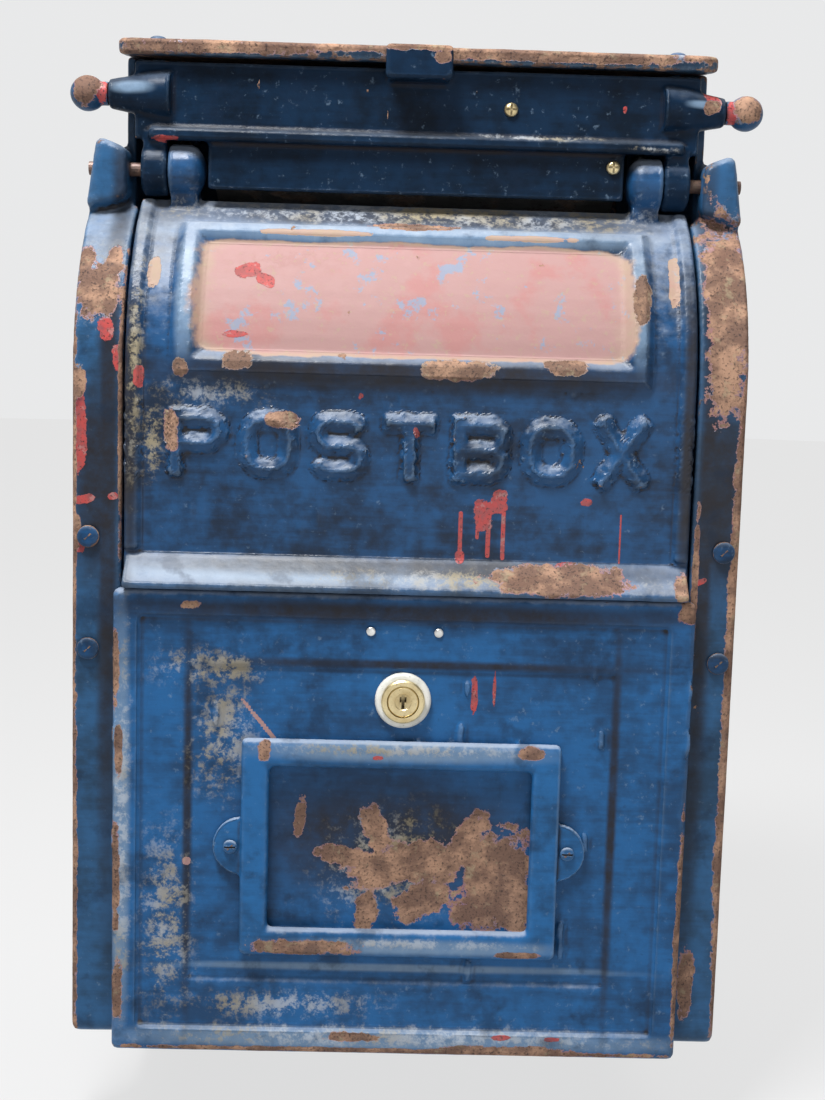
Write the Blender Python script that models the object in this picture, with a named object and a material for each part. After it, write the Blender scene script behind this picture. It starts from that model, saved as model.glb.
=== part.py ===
"""Cast-iron post box with a pull-down letter flap and a bottom-hinged collection door.

Metres, +Z up, the front faces -Y and +X is the viewer's right. Heights are measured from
the foot of the side castings. The "case" empty lowers them all, so that the world origin
is the middle of the mounting-hole pattern on the back plate's rear face.
"""

import math

import bmesh
import bpy
from mathutils import Vector

# Fits
GAP = 0.0003
PANEL_SIDE_GAP = 0.0012
SHADOW_GAP = 0.0008
SWING_CLEARANCE = 0.0015

# Side castings: a wall with a broad rim that follows the front profile
CASE_DEPTH = 0.200
RIM_HALF_WIDTH = 0.168
RIM_WIDTH = 0.0248
RIM_THICKNESS = 0.009
RIM_EDGE = 0.0025
WALL_INSET = 0.017
WALL_THICKNESS = 0.005
FOOT_RADIUS = 0.007
SHOULDER_HEIGHT = 0.340
SHOULDER_RADIUS = 0.110
RIM_END_ANGLE = math.radians(55)
PANEL_END_ANGLE = math.radians(58)
HINGE_ANGLE = math.radians(60.4)
LUG_WIDTH = 0.016
LUG_LENGTH = 0.018
LUG_DEPTH = 0.008
LUG_STEP = 0.001
OVERLAP = 0.001

# Flat castings
BACK_THICKNESS = 0.006
BOTTOM_HEIGHT = 0.014
BOTTOM_THICKNESS = 0.005
BOTTOM_FRONT_SETBACK = 0.018
ROOF_THICKNESS = 0.008
ROOF_SLOPE = math.radians(8)
ROOF_SIDE_OVERHANG = 0.002
ROOF_NOSE = 0.007
ROOF_CORNER = 0.010
MOUNT_HEIGHT = 0.290
MOUNT_HALF_WIDTH = 0.060
MOUNT_HALF_HEIGHT = 0.150
MOUNT_HOLE_RADIUS = 0.0055

# Front panel
PANEL_THICKNESS = 0.006
PANEL_FLAT_HEIGHT = 0.1023
PANEL_REBATE = 0.0155
BEAD_WIDTH = 0.008
BEAD_HEIGHT = 0.0025
LEDGE_DEPTH = 0.014
LEDGE_NOSE = 0.003
LEDGE_RISE = 0.0145
LEDGE_END_INSET = 0.001
SIGN_SIDE_MARGIN = 0.0225
SIGN_FOOT = 0.0015
SIGN_TOP_MARGIN = 0.0215
SIGN_MEMBER = 0.0135
SIGN_HEIGHT = 0.0045
LETTER_HEIGHT = 0.034
LETTER_DROP = 0.047
LETTER_RADIUS = 0.0049
LETTER_RELIEF = 0.0037
LETTER_SHARE = 0.60
WORD_SIDE_MARGIN = 0.0185

# Flap and its hinge
KNUCKLE_RADIUS = 0.0133
KNUCKLE_CLEARANCE = 0.0004
KNUCKLE_INSET = 0.027
ARM_KNUCKLE_LENGTH = 0.0137
PANEL_KNUCKLE_LENGTH = 0.0188
PIN_RADIUS = 0.0035
FLAP_PIN_COVER = 0.007
EAR_HALF_DEPTH = 0.0145
EAR_RISE = 0.0155
EAR_DROP = 0.022
EAR_EDGE = 0.004
EAR_TAPER = 0.0055
EAR_SHOULDER = 0.006
FLAP_SET_FORWARD = 0.009
FLAP_THICKNESS = 0.005
FLAP_HEIGHT = 0.0535
FLAP_WAIST_GAP = 0.0012
APRON_DROP = 0.0095
APRON_SETBACK = 0.0005
MOULDING_HEIGHT = 0.006
MOULDING_DEPTH = 0.005
TAB_HALF_WIDTH = 0.017
TAB_HEIGHT = 0.017
TAB_THICKNESS = 0.006
KNOB_HEIGHT = 0.037
KNOB_OVERHANG = 0.001
KNOB_RADIUS = 0.009
KNOB_NECK = 0.0062
KNOB_NECK_EDGE = 0.001
KNOB_SHANK_RADIUS = 0.003
KNOB_SHANK_LENGTH = 0.014
KNOB_SETBACK = 0.004
BOSS_ROOT = 0.0125
BOSS_TIP = 0.0072
BOSS_INSET = 0.010
BOSS_LENGTH = 0.032
CHUTE_SIDE_GAP = 0.0025
CHUTE_THICKNESS = 0.002
CHUTE_LENGTH = 0.076
CHUTE_FALL = math.radians(20)
WEIGHT_SIZE = 0.018
WEIGHT_END_INSET = 0.011
WEIGHT_SCREW_INSET = 0.035

# Collection door
DOOR_OVERLAP = 0.0028
DOOR_FOOT = -0.004
DOOR_THICKNESS = 0.0092
DOOR_BEAD = 0.0125
FIELD_DEPTH = 0.0022
INNER_MARGIN = 0.0375
INNER_DEPTH = 0.0015
POCKET_DEPTH = 0.0017
DOOR_PIN_HEIGHT = 0.007
DOOR_PIN_SETBACK = 0.008
DOOR_PIN_RADIUS = 0.0025
DOOR_LUG_RADIUS = 0.006
DOOR_LUG_WIDTH = 0.012
CARD_FOOT_MARGIN = 0.0537
CARD_LOCK_MARGIN = 0.0205
CARD_SIDE_MARGIN = 0.0278
CARD_MEMBER = 0.0143
CARD_HEIGHT = 0.0065
CARD_EAR_RADIUS = 0.0152
CARD_EAR_HEIGHT = 0.0035
CARD_SCREW_OUTSET = 0.005
RIVET_HALF_SPACING = 0.017
RIVET_DROP = 0.0187
RIVET_HEAD_RADIUS = 0.0023
RIVET_HEAD_HEIGHT = 0.0009
RIVET_SHANK_RADIUS = 0.0015
STRIP_THICKNESS = 0.002
STRIP_MARGIN = 0.012
STRIP_DROP = 0.007
STRIP_RISE = 0.004

# Cam lock
LOCK_DROP = 0.0537
RING_WIDTH = 0.0044
RING_HEIGHT = 0.0028
LOCK_FLANGE_WIDTH = 0.0012
LOCK_BARREL_RADIUS = 0.0098
LOCK_BARREL_WALL = 0.0019
LOCK_PROUD = 0.0055
NUT_WIDTH = 0.0047
NUT_THICKNESS = 0.0035
CAM_WIDTH = 0.016
CAM_THICKNESS = 0.0025
CAM_OVERLAP = 0.008
KEYWAY_HALF_WIDTH = 0.0008
KEYWAY_HALF_HEIGHT = 0.004
KEYWAY_DEPTH = 0.008

# Fasteners
SCREW_SIDES = 10
SCREW_RADIUS = 0.0025
SMALL_SCREW_RADIUS = 0.0018
CAM_SCREW_RADIUS = 0.002
RIM_BOLT_RADIUS = 0.0028
PANEL_SCREW_LENGTH = 0.018
BACK_SCREW_LENGTH = 0.012
BOTTOM_SCREW_LENGTH = 0.010
ROOF_SCREW_LENGTH = 0.013
WEIGHT_SCREW_LENGTH = 0.014
CARD_SCREW_LENGTH = 0.007
FLAP_SCREW_LENGTH = 0.0072
CAM_SCREW_LENGTH = 0.009
RIM_BOLT_DROP = 0.032
RIM_BOLT_RISE = 0.024
BACK_SCREW_FOOT = 0.060
PLATE_SCREW_MARGIN = 0.030
FRONT_SCREW_MARGIN = 0.020
FLAP_SCREW_UPPER = (0.0476, 0.0345)
FLAP_SCREW_LOWER = (0.0048, 0.0072)

# Places worked out from the sizes
FRONT = -CASE_DEPTH
RIM_INNER = RIM_HALF_WIDTH - RIM_WIDTH
WALL_OUTER = RIM_HALF_WIDTH - WALL_INSET
WALL_INNER = WALL_OUTER - WALL_THICKNESS
WALL_BACK = -BACK_THICKNESS - GAP
LUG_INNER = WALL_INNER - LUG_WIDTH
SHOULDER_Y = FRONT + SHOULDER_RADIUS
PANEL_HALF = RIM_INNER - PANEL_SIDE_GAP
SIGN_HALF_WIDTH = PANEL_HALF - SIGN_SIDE_MARGIN
WORD_HALF_WIDTH = PANEL_HALF - WORD_SIDE_MARGIN
LEDGE_UNDERSIDE = SHOULDER_HEIGHT - PANEL_FLAT_HEIGHT
PANEL_FOOT = LEDGE_UNDERSIDE - PANEL_REBATE
PANEL_INNER = FRONT + PANEL_THICKNESS
KNUCKLE_OUTER = RIM_HALF_WIDTH - KNUCKLE_INSET
KNUCKLE_SPLIT = KNUCKLE_OUTER - ARM_KNUCKLE_LENGTH
KNUCKLE_INNER = KNUCKLE_SPLIT - PANEL_KNUCKLE_LENGTH
CHUTE_HALF_WIDTH = KNUCKLE_INNER - CHUTE_SIDE_GAP
WEIGHT_HALF_WIDTH = CHUTE_HALF_WIDTH - WEIGHT_END_INSET
FLAP_WAIST = KNUCKLE_RADIUS + FLAP_WAIST_GAP
HINGE_REACH = SHOULDER_RADIUS + KNUCKLE_RADIUS + KNUCKLE_CLEARANCE
HINGE_Y = SHOULDER_Y - HINGE_REACH * math.cos(HINGE_ANGLE)
HINGE_Z = SHOULDER_HEIGHT + HINGE_REACH * math.sin(HINGE_ANGLE)
EAR_INNER = WALL_INNER + SWING_CLEARANCE
FLAP_FACE = HINGE_Y - FLAP_SET_FORWARD
FLAP_BACK = FLAP_FACE + FLAP_THICKNESS
FLAP_TOP = HINGE_Z + FLAP_HEIGHT
FLAP_SIDE = WALL_INNER - SWING_CLEARANCE
KNOB_Y = HINGE_Y - KNOB_SETBACK
KNOB_Z = HINGE_Z + KNOB_HEIGHT
KNOB_REACH = RIM_HALF_WIDTH + KNOB_OVERHANG
BOSS_END = RIM_HALF_WIDTH - BOSS_INSET
BOSS_START = BOSS_END - BOSS_LENGTH
WALL_TOP_FRONT = KNOB_Y + BOSS_ROOT - SWING_CLEARANCE
ROOF_FRONT = FLAP_FACE - ROOF_NOSE
ROOF_UNDERSIDE = FLAP_TOP + SWING_CLEARANCE
ROOF_HALF = WALL_OUTER + ROOF_SIDE_OVERHANG
DOOR_HALF = RIM_INNER + DOOR_OVERLAP
DOOR_TOP = LEDGE_UNDERSIDE - SHADOW_GAP
DOOR_BACK = FRONT - GAP
DOOR_FRONT = DOOR_BACK - DOOR_THICKNESS
FIELD_Y = DOOR_FRONT + FIELD_DEPTH
INNER_Y = FIELD_Y + INNER_DEPTH
DOOR_AXIS_Y = FRONT + DOOR_PIN_SETBACK
LOCK_Z = DOOR_TOP - LOCK_DROP
CARD_HALF_WIDTH = DOOR_HALF - INNER_MARGIN - CARD_SIDE_MARGIN
CARD_FOOT = CARD_FOOT_MARGIN + DOOR_FOOT
CARD_TOP = LOCK_Z - CARD_LOCK_MARGIN
CARD_MIDDLE = (CARD_FOOT + CARD_TOP) / 2
CARD_BACK = INNER_Y - GAP
RIVET_Z = DOOR_TOP - RIVET_DROP
LOCK_REAR = PANEL_INNER + GAP
LOCK_FACE_RADIUS = LOCK_BARREL_RADIUS + LOCK_FLANGE_WIDTH
LOCK_PLUG_RADIUS = LOCK_BARREL_RADIUS - LOCK_BARREL_WALL
RING_RADIUS = LOCK_BARREL_RADIUS + RING_WIDTH
NUT_RADIUS = LOCK_BARREL_RADIUS + NUT_WIDTH
CAM_FRONT = LOCK_REAR + GAP


# ---------------------------------------------------------------- scene helpers


def clear_scene():
    for obj in list(bpy.data.objects):
        bpy.data.objects.remove(obj, do_unlink=True)


def make_material(name, colour, roughness, metallic):
    material = bpy.data.materials.new(name)
    material.use_nodes = True
    shader = material.node_tree.nodes["Principled BSDF"]
    shader.inputs["Base Color"].default_value = (*colour, 1.0)
    shader.inputs["Roughness"].default_value = roughness
    shader.inputs["Metallic"].default_value = metallic
    return material


def empty_at(name, place, parent=None):
    empty = bpy.data.objects.new(name, None)
    bpy.context.scene.collection.objects.link(empty)
    empty.parent = parent
    empty.location = place
    return empty


def add_object(name, bm, body, material=None):
    """The object of a finished bmesh, kept where it was modelled under its body's empty."""
    bm.normal_update()
    bmesh.ops.recalc_face_normals(bm, faces=bm.faces)
    mesh = bpy.data.meshes.new(name)
    bm.to_mesh(mesh)
    bm.free()
    mesh.shade_smooth()
    mesh.set_sharp_from_angle(angle=math.radians(35))
    obj = bpy.data.objects.new(name, mesh)
    bpy.context.scene.collection.objects.link(obj)
    obj.parent = body
    if body is not case:
        obj.location = -body.location
    if material is None:
        obj.hide_render = True
        obj.display_type = "WIRE"
    else:
        mesh.materials.append(material)
    return obj


def boolean(obj, helper, operation):
    modifier = obj.modifiers.new(helper.name, "BOOLEAN")
    modifier.operation = operation
    modifier.solver = "MANIFOLD"
    modifier.object = helper


def unite(obj, *helpers):
    for helper in helpers:
        boolean(obj, helper, "UNION")


def cut(obj, *helpers):
    for helper in helpers:
        boolean(obj, helper, "DIFFERENCE")


def round_edges(obj, width, segments=2):
    modifier = obj.modifiers.new("round_edges", "BEVEL")
    modifier.width = width
    modifier.segments = segments
    modifier.limit_method = "ANGLE"
    modifier.angle_limit = math.radians(50)


def weld(obj):
    """Closes the hair-wide slivers that many cuts leave in a casting."""
    modifier = obj.modifiers.new("weld", "WELD")
    modifier.merge_threshold = 0.00001


# ---------------------------------------------------------------- shapes


def arc(centre, radius, start, end, steps):
    """Points (a, b) of an arc; angles turn from the +a axis towards the +b axis."""
    for step in range(steps + 1):
        angle = start + (end - start) * step / steps
        yield centre[0] + radius * math.cos(angle), centre[1] + radius * math.sin(angle)


def rounded_rectangle(a_low, a_high, b_low, b_high, radius, steps=4):
    corners = (
        ((a_high - radius, b_low + radius), -90),
        ((a_high - radius, b_high - radius), 0),
        ((a_low + radius, b_high - radius), 90),
        ((a_low + radius, b_low + radius), 180),
    )
    outline = []
    for centre, degrees in corners:
        start = math.radians(degrees)
        outline += arc(centre, radius, start, start + math.pi / 2, steps)
    return outline


def on_axis(axis, along, a, b):
    """The point at a, b in the plane across an axis: (y, z), (x, z) or (x, y)."""
    return {"X": (along, a, b), "Y": (a, along, b), "Z": (a, b, along)}[axis]


def prism(name, outline, axis, start, end, body, material=None):
    """An outline extruded straight along an axis."""
    bm = bmesh.new()
    face = bm.faces.new([bm.verts.new(on_axis(axis, start, a, b)) for a, b in outline])
    extruded = bmesh.ops.extrude_face_region(bm, geom=[face])["geom"]
    moved = [item for item in extruded if isinstance(item, bmesh.types.BMVert)]
    bmesh.ops.translate(bm, verts=moved, vec=on_axis(axis, end - start, 0, 0))
    return add_object(name, bm, body, material)


def box(name, low, high, body, material=None):
    outline = [(low[0], low[1]), (high[0], low[1]), (high[0], high[1]), (low[0], high[1])]
    return prism(name, outline, "Z", low[2], high[2], body, material)


def turned(name, profile, place, direction, body, material=None, steps=20):
    """A turned solid: (distance along direction, radius) pairs that start and end at radius 0."""
    bm = bmesh.new()
    verts = [bm.verts.new((radius, 0, along)) for along, radius in profile]
    edges = [bm.edges.new(pair) for pair in zip(verts, verts[1:])]
    bmesh.ops.spin(
        bm, geom=verts + edges, axis=(0, 0, 1), cent=(0, 0, 0), angle=math.tau, steps=steps, use_merge=True
    )
    bmesh.ops.remove_doubles(bm, verts=bm.verts, dist=1e-6)
    turn = Vector(direction).to_track_quat("Z", "Y").to_matrix().to_4x4()
    turn.translation = place
    bm.transform(turn)
    return add_object(name, bm, body, material)


def rod(name, radius, place, direction, length, body, material=None, steps=16):
    profile = [(0, 0), (0, radius), (length, radius), (length, 0)]
    return turned(name, profile, place, direction, body, material, steps)


def profile_band(outer, inner, foot, end_angle, steps=14):
    """The outline, in (y, z), of a band between two depths below the front profile."""
    outside = [(FRONT + outer, foot)]
    outside += front_arc(outer, end_angle, steps)
    inside = [(FRONT + inner, foot)]
    inside += front_arc(inner, end_angle, steps)
    return outside + inside[::-1]


def front_arc(depth, end_angle, steps=14):
    centre = (SHOULDER_Y, SHOULDER_HEIGHT)
    return list(arc(centre, SHOULDER_RADIUS - depth, math.pi, math.pi - end_angle, steps))


def behind_rim(height):
    """How far back the rim reaches at a height."""
    reach = SHOULDER_RADIUS - RIM_THICKNESS
    return SHOULDER_Y - math.sqrt(reach**2 - max(height - SHOULDER_HEIGHT, 0) ** 2)


def on_front(x, along, proud):
    """A point proud of the front panel, a length along the profile from the shoulder's start."""
    if along < 0:
        return Vector((x, FRONT - proud, SHOULDER_HEIGHT + along))
    angle = along / SHOULDER_RADIUS
    reach = SHOULDER_RADIUS + proud
    return Vector((x, SHOULDER_Y - reach * math.cos(angle), SHOULDER_HEIGHT + reach * math.sin(angle)))


# ---------------------------------------------------------------- fasteners


def screw(name, place, direction, radius, length, pieces, body, material, slotted=False):
    """A pan-head screw standing on place, and its hole in each of the pieces."""
    head, height = 2 * radius, 1.1 * radius
    profile = [(-height, 0), (-height, 0.55 * head), (-0.45 * height, 0.95 * head), (0, head)]
    profile += [(0, radius), (length, radius), (length, 0)]
    seat = Vector(place) - GAP * Vector(direction)
    made = turned(name, profile, seat, direction, body, material, SCREW_SIDES)
    if slotted:
        across = Vector((0.30 * radius, 0.6 * height, head))
        low, high = seat - across, seat + across
        low.y, high.y = seat.y - 2 * height, seat.y - 0.5 * height
        cut(made, box(name + "_slot", low, high, body))
    start = seat - GAP * Vector(direction)
    depth = length + 3 * GAP
    hole = rod(name + "_hole", radius + GAP, start, direction, depth, body, steps=SCREW_SIDES)
    for piece in pieces:
        cut(piece, hole)
    return made


def screws(name, places, direction, radius, length, pieces, body, material):
    """A row of equal screws, numbered from 1."""
    for index, place in enumerate(places):
        screw(f"{name}_{index + 1}", place, direction, radius, length, pieces, body, material)


# ---------------------------------------------------------------- root body


def side_outline():
    """The wall, 1 mm inside the rim's outer face so that the two overlap cleanly."""
    inset = 0.001
    roof_rise = math.tan(ROOF_SLOPE)
    top_front = ROOF_UNDERSIDE + (WALL_TOP_FRONT - ROOF_FRONT) * roof_rise - GAP
    top_back = ROOF_UNDERSIDE + (WALL_BACK - ROOF_FRONT) * roof_rise - GAP
    foot = list(arc((FRONT + FOOT_RADIUS, FOOT_RADIUS), FOOT_RADIUS - inset, -math.pi / 2, -math.pi, 4))
    outline = [(WALL_BACK, inset)] + foot + front_arc(inset, PANEL_END_ANGLE)
    return outline + [(WALL_TOP_FRONT, HINGE_Z), (WALL_TOP_FRONT, top_front), (WALL_BACK, top_back)]


def rim_outline():
    foot = list(arc((FRONT + FOOT_RADIUS, FOOT_RADIUS), FOOT_RADIUS, -math.pi / 2, -math.pi, 4))
    inner = front_arc(RIM_THICKNESS, RIM_END_ANGLE)[::-1]
    return foot + front_arc(0, RIM_END_ANGLE) + inner + [(FRONT + RIM_THICKNESS, 0)]


def side_lugs(name, side):
    """Inward lugs that take the screws of the back, bottom and roof plates."""
    inner, outer = sorted((side * LUG_INNER, side * (WALL_INNER + GAP)))
    roof_rise = math.tan(ROOF_SLOPE)
    for y, z in BACK_SCREWS:
        low = (inner, WALL_BACK - LUG_DEPTH, z - LUG_LENGTH / 2)
        yield box(f"{name}_back_lug_{z:.2f}", low, (outer, WALL_BACK, z + LUG_LENGTH / 2), case)
    for y in BOTTOM_SCREWS:
        low = (inner, y - LUG_LENGTH / 2, BOTTOM_HEIGHT - GAP - LUG_DEPTH)
        yield box(f"{name}_bottom_lug_{y:.2f}", low, (outer, y + LUG_LENGTH / 2, BOTTOM_HEIGHT - GAP), case)
    for y in ROOF_SCREWS:
        front, back = y - LUG_LENGTH / 2, y + LUG_LENGTH / 2
        top_front = ROOF_UNDERSIDE + (front - ROOF_FRONT) * roof_rise - 2 * GAP
        top_back = ROOF_UNDERSIDE + (back - ROOF_FRONT) * roof_rise - 2 * GAP
        outline = [(front, top_front - LUG_DEPTH), (back, top_back - LUG_DEPTH)]
        outline += [(back, top_back), (front, top_front)]
        yield prism(f"{name}_roof_lug_{y:.2f}", outline, "X", inner, outer, case)


def hinge_ear(name, side):
    """The shield-shaped lug on the shoulder that holds the flap's pin."""
    low, high = HINGE_Z - EAR_DROP, HINGE_Z + EAR_RISE
    outer = RIM_HALF_WIDTH + OVERLAP
    outline = [(EAR_INNER, low + EAR_SHOULDER), (outer, low), (outer - EAR_TAPER, high)]
    outline.append((EAR_INNER, high - EAR_SHOULDER))
    mirrored = [(side * x, z) for x, z in outline]
    depths = (HINGE_Y - EAR_HALF_DEPTH, HINGE_Y + EAR_HALF_DEPTH)
    ear = prism(name + "_ear", mirrored, "Y", *depths, case)
    round_edges(ear, EAR_EDGE)
    return ear


def make_side(name, side):
    wall_span = sorted((side * WALL_INNER, side * WALL_OUTER))
    made = prism(name, side_outline(), "X", *wall_span, case, iron)
    rim_span = sorted((side * RIM_INNER, side * RIM_HALF_WIDTH))
    rim = prism(name + "_rim", rim_outline(), "X", *rim_span, case)
    round_edges(rim, RIM_EDGE)
    unite(made, rim, hinge_ear(name, side), *side_lugs(name, side))
    return made


def make_back_plate():
    top = ROOF_UNDERSIDE + (WALL_BACK - ROOF_FRONT) * math.tan(ROOF_SLOPE) - GAP
    made = box("back_plate", (-WALL_OUTER, -BACK_THICKNESS, 0), (WALL_OUTER, 0, top), case, iron)
    for x in (-MOUNT_HALF_WIDTH, MOUNT_HALF_WIDTH):
        for z in (MOUNT_HEIGHT - MOUNT_HALF_HEIGHT, MOUNT_HEIGHT + MOUNT_HALF_HEIGHT):
            start = (x, -BACK_THICKNESS - 0.001, z)
            length = BACK_THICKNESS + 0.002
            cut(made, rod("mount_hole", MOUNT_HOLE_RADIUS, start, (0, 1, 0), length, case))
    return made


def make_bottom_plate():
    half = WALL_INNER - GAP
    low = (-half, FRONT + BOTTOM_FRONT_SETBACK, BOTTOM_HEIGHT)
    return box("bottom_plate", low, (half, WALL_BACK, BOTTOM_HEIGHT + BOTTOM_THICKNESS), case, iron)


def make_roof():
    """Modelled flat from its front lower edge, then tipped up to its slope."""
    length = -ROOF_FRONT / math.cos(ROOF_SLOPE) - GAP
    outline = [(ROOF_HALF, length), (-ROOF_HALF, length)]
    outline += arc((-ROOF_HALF + ROOF_CORNER, ROOF_CORNER), ROOF_CORNER, math.pi, 1.5 * math.pi, 5)
    outline += arc((ROOF_HALF - ROOF_CORNER, ROOF_CORNER), ROOF_CORNER, -math.pi / 2, 0, 5)
    made = prism("roof_plate", outline, "Z", 0, ROOF_THICKNESS, case, iron)
    made.location = (0, ROOF_FRONT, ROOF_UNDERSIDE)
    made.rotation_euler.x = ROOF_SLOPE
    round_edges(made, 0.002)
    return made


def make_ledge():
    """A weathered drip moulding with a level underside over the door."""
    back = FRONT + 0.001
    nose = FRONT - LEDGE_DEPTH
    top = LEDGE_UNDERSIDE + LEDGE_NOSE
    outline = [(back, LEDGE_UNDERSIDE), (nose, LEDGE_UNDERSIDE), (nose, top), (back, top + LEDGE_RISE)]
    half = PANEL_HALF - LEDGE_END_INSET
    ledge = prism("ledge", outline, "X", -half, half, case)
    round_edges(ledge, 0.001)
    return ledge


def sign_frame():
    """A rounded moulding that frames a sign, wrapped onto the shoulder of the panel."""
    top = PANEL_END_ANGLE * SHOULDER_RADIUS - SIGN_TOP_MARGIN
    shape = [(0, -0.002), (0, 0.001), (0.3, SIGN_HEIGHT), (0.7, SIGN_HEIGHT), (1, 0.001), (1, -0.002)]
    steps = 9
    bm = bmesh.new()
    rings = []
    for share, proud in shape:
        inset = share * SIGN_MEMBER
        half, low, high = SIGN_HALF_WIDTH - inset, SIGN_FOOT + inset, top - inset
        rise = [low + (high - low) * step / steps for step in range(steps + 1)]
        path = [(-half, along) for along in rise] + [(half, along) for along in reversed(rise)]
        rings.append([bm.verts.new(on_front(x, along, proud)) for x, along in path])
    for ring, following in zip(rings, rings[1:] + rings[:1]):
        for i in range(len(ring)):
            j = (i + 1) % len(ring)
            bm.faces.new((ring[i], ring[j], following[j], following[i]))
    return add_object("sign_frame", bm, case)


def bowl(centre, start, end, steps=6):
    """Part of a letter's bowl, a quarter of the letter's height in radius."""
    across, up = 0.29, 0.25
    return [
        (centre[0] + across * a, centre[1] + up * b)
        for a, b in arc((0, 0), 1, math.radians(start), math.radians(end), steps)
    ]


def letter_strokes():
    """Centre lines of the letters P O S T B O X, as (x, z) shares of a letter's width and height."""
    right, left = 0.71, 0.29
    tip = 0.18
    stem = [(0, -tip), (0, 1 + tip)]
    bowl_high = [(0, 1)] + bowl((right, 0.75), 90, -90) + [(0, 0.5)]
    bowl_low = [(0, 0.5)] + bowl((right, 0.25), 90, -90) + [(0, 0)]
    ring = rounded_rectangle(0, 1, 0, 1, 0.4)
    upper_s = bowl((right, 0.75), 20, 90, 3) + bowl((left, 0.75), 90, 270)
    lower_s = bowl((right, 0.25), 90, -90) + bowl((left, 0.25), -90, -160, 3)
    letter_t = [[(-0.1, 1), (1.1, 1)], [(0.5, 1), (0.5, -tip)]]
    letter_x = [[(-0.02, -tip), (1.02, 1 + tip)], [(-0.02, 1 + tip), (1.02, -tip)]]
    return [
        [stem, bowl_high],
        [ring + ring[:1]],
        [upper_s + lower_s],
        letter_t,
        [stem, bowl_high, bowl_low],
        [ring + ring[:1]],
        letter_x,
    ]


def make_stroke(name, path, relief):
    """One round stroke along a path, sunk so that only its relief stands out."""
    closed = path[0] == path[-1]
    points = path[:-1] if closed else path
    data = bpy.data.curves.new(name, "CURVE")
    data.dimensions = "3D"
    data.bevel_depth = LETTER_RADIUS
    data.bevel_resolution = 1
    data.use_fill_caps = True
    spline = data.splines.new("POLY")
    spline.points.add(len(points) - 1)
    for point, (x, z) in zip(spline.points, points):
        point.co = (x, FRONT + LETTER_RADIUS - relief, z, 1)
    spline.use_cyclic_u = closed
    curve = bpy.data.objects.new(name, data)
    bpy.context.scene.collection.objects.link(curve)
    graph = bpy.context.evaluated_depsgraph_get()
    bm = bmesh.new()
    bm.from_mesh(bpy.data.meshes.new_from_object(curve.evaluated_get(graph)))
    bmesh.ops.remove_doubles(bm, verts=bm.verts, dist=1e-6)
    bpy.data.objects.remove(curve)
    return add_object(name, bm, case)


def word_strokes():
    letters = letter_strokes()
    pitch = 2 * WORD_HALF_WIDTH / len(letters)
    width = LETTER_SHARE * pitch
    base = SHOULDER_HEIGHT - LETTER_DROP + LETTER_RADIUS
    height = LETTER_HEIGHT - 2 * LETTER_RADIUS
    for index, strokes in enumerate(letters):
        left = -WORD_HALF_WIDTH + pitch * (index + 0.5) - width / 2
        for count, stroke in enumerate(strokes):
            # Crossing strokes stand a hair apart, so that no two faces lie flush.
            relief = LETTER_RELIEF + 0.0001 * count
            path = [(left + width * x, base + height * z) for x, z in stroke]
            yield make_stroke(f"letter_{index}_{count}", path, relief)


def panel_knuckle(side):
    """The domed hinge knuckle on top of the panel, and the web below it."""
    length = KNUCKLE_SPLIT - KNUCKLE_INNER
    dome = 0.45 * length
    profile = [(0, 0), (0, KNUCKLE_RADIUS - 0.001), (0.001, KNUCKLE_RADIUS)]
    for a, b in arc((length - dome, 0), 1, math.pi / 2, 0, 6):
        profile.append((length - dome + dome * (a - length + dome), KNUCKLE_RADIUS * b))
    start = (side * KNUCKLE_SPLIT, HINGE_Y, HINGE_Z)
    profile[-1] = (length, 0)
    knuckle = turned(f"panel_knuckle_{side}", profile, start, (-side, 0, 0), case, steps=18)
    xs = sorted((side * (KNUCKLE_INNER + 0.004), side * (KNUCKLE_SPLIT - 0.001)))
    low = on_front(0, (PANEL_END_ANGLE - 0.09) * SHOULDER_RADIUS, -PANEL_THICKNESS / 2)
    web_low = (xs[0], HINGE_Y - 0.005, low.z)
    web_high = (xs[1], HINGE_Y + 0.009, HINGE_Z - 0.004)
    return knuckle, box(f"panel_web_{side}", web_low, web_high, case)


def panel_lugs(side):
    """Blocks behind the panel, with feet that reach the wall for the panel screws."""
    half = LUG_LENGTH / 2
    for y, z in PANEL_SCREWS:
        rise = max(z - SHOULDER_HEIGHT, 0)
        reach = SHOULDER_RADIUS - PANEL_THICKNESS / 2
        front = SHOULDER_Y - math.sqrt(reach**2 - rise**2)
        xs = sorted((side * LUG_INNER, side * (PANEL_HALF - LUG_STEP)))
        yield box(f"panel_lug_{side}_{z:.2f}", (xs[0], front, z - half), (xs[1], y + half, z + half), case)
        xs = sorted((side * (LUG_INNER + LUG_STEP), side * (WALL_INNER - GAP)))
        foot_half = half - LUG_STEP
        foot_low = (xs[0], y - foot_half, z - foot_half)
        yield box(f"panel_foot_{side}_{z:.2f}", foot_low, (xs[1], y + foot_half, z + foot_half), case)


def make_front_panel():
    outline = profile_band(0, PANEL_THICKNESS, PANEL_FOOT, PANEL_END_ANGLE)
    made = prism("front_panel", outline, "X", -PANEL_HALF, PANEL_HALF, case, iron)
    ledge_top = LEDGE_UNDERSIDE + LEDGE_NOSE + LEDGE_RISE
    band = profile_band(-BEAD_HEIGHT, PANEL_THICKNESS / 2, ledge_top, PANEL_END_ANGLE - 0.02)
    for side in (-1, 1):
        xs = sorted((side * (PANEL_HALF - BEAD_WIDTH), side * (PANEL_HALF - GAP)))
        bead = prism(f"edge_bead_{side}", band, "X", *xs, case)
        round_edges(bead, 0.0022)
        unite(made, bead)
    unite(made, make_ledge(), sign_frame(), *word_strokes())
    for side in (-1, 1):
        unite(made, *panel_knuckle(side), *panel_lugs(side))
    return made


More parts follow.
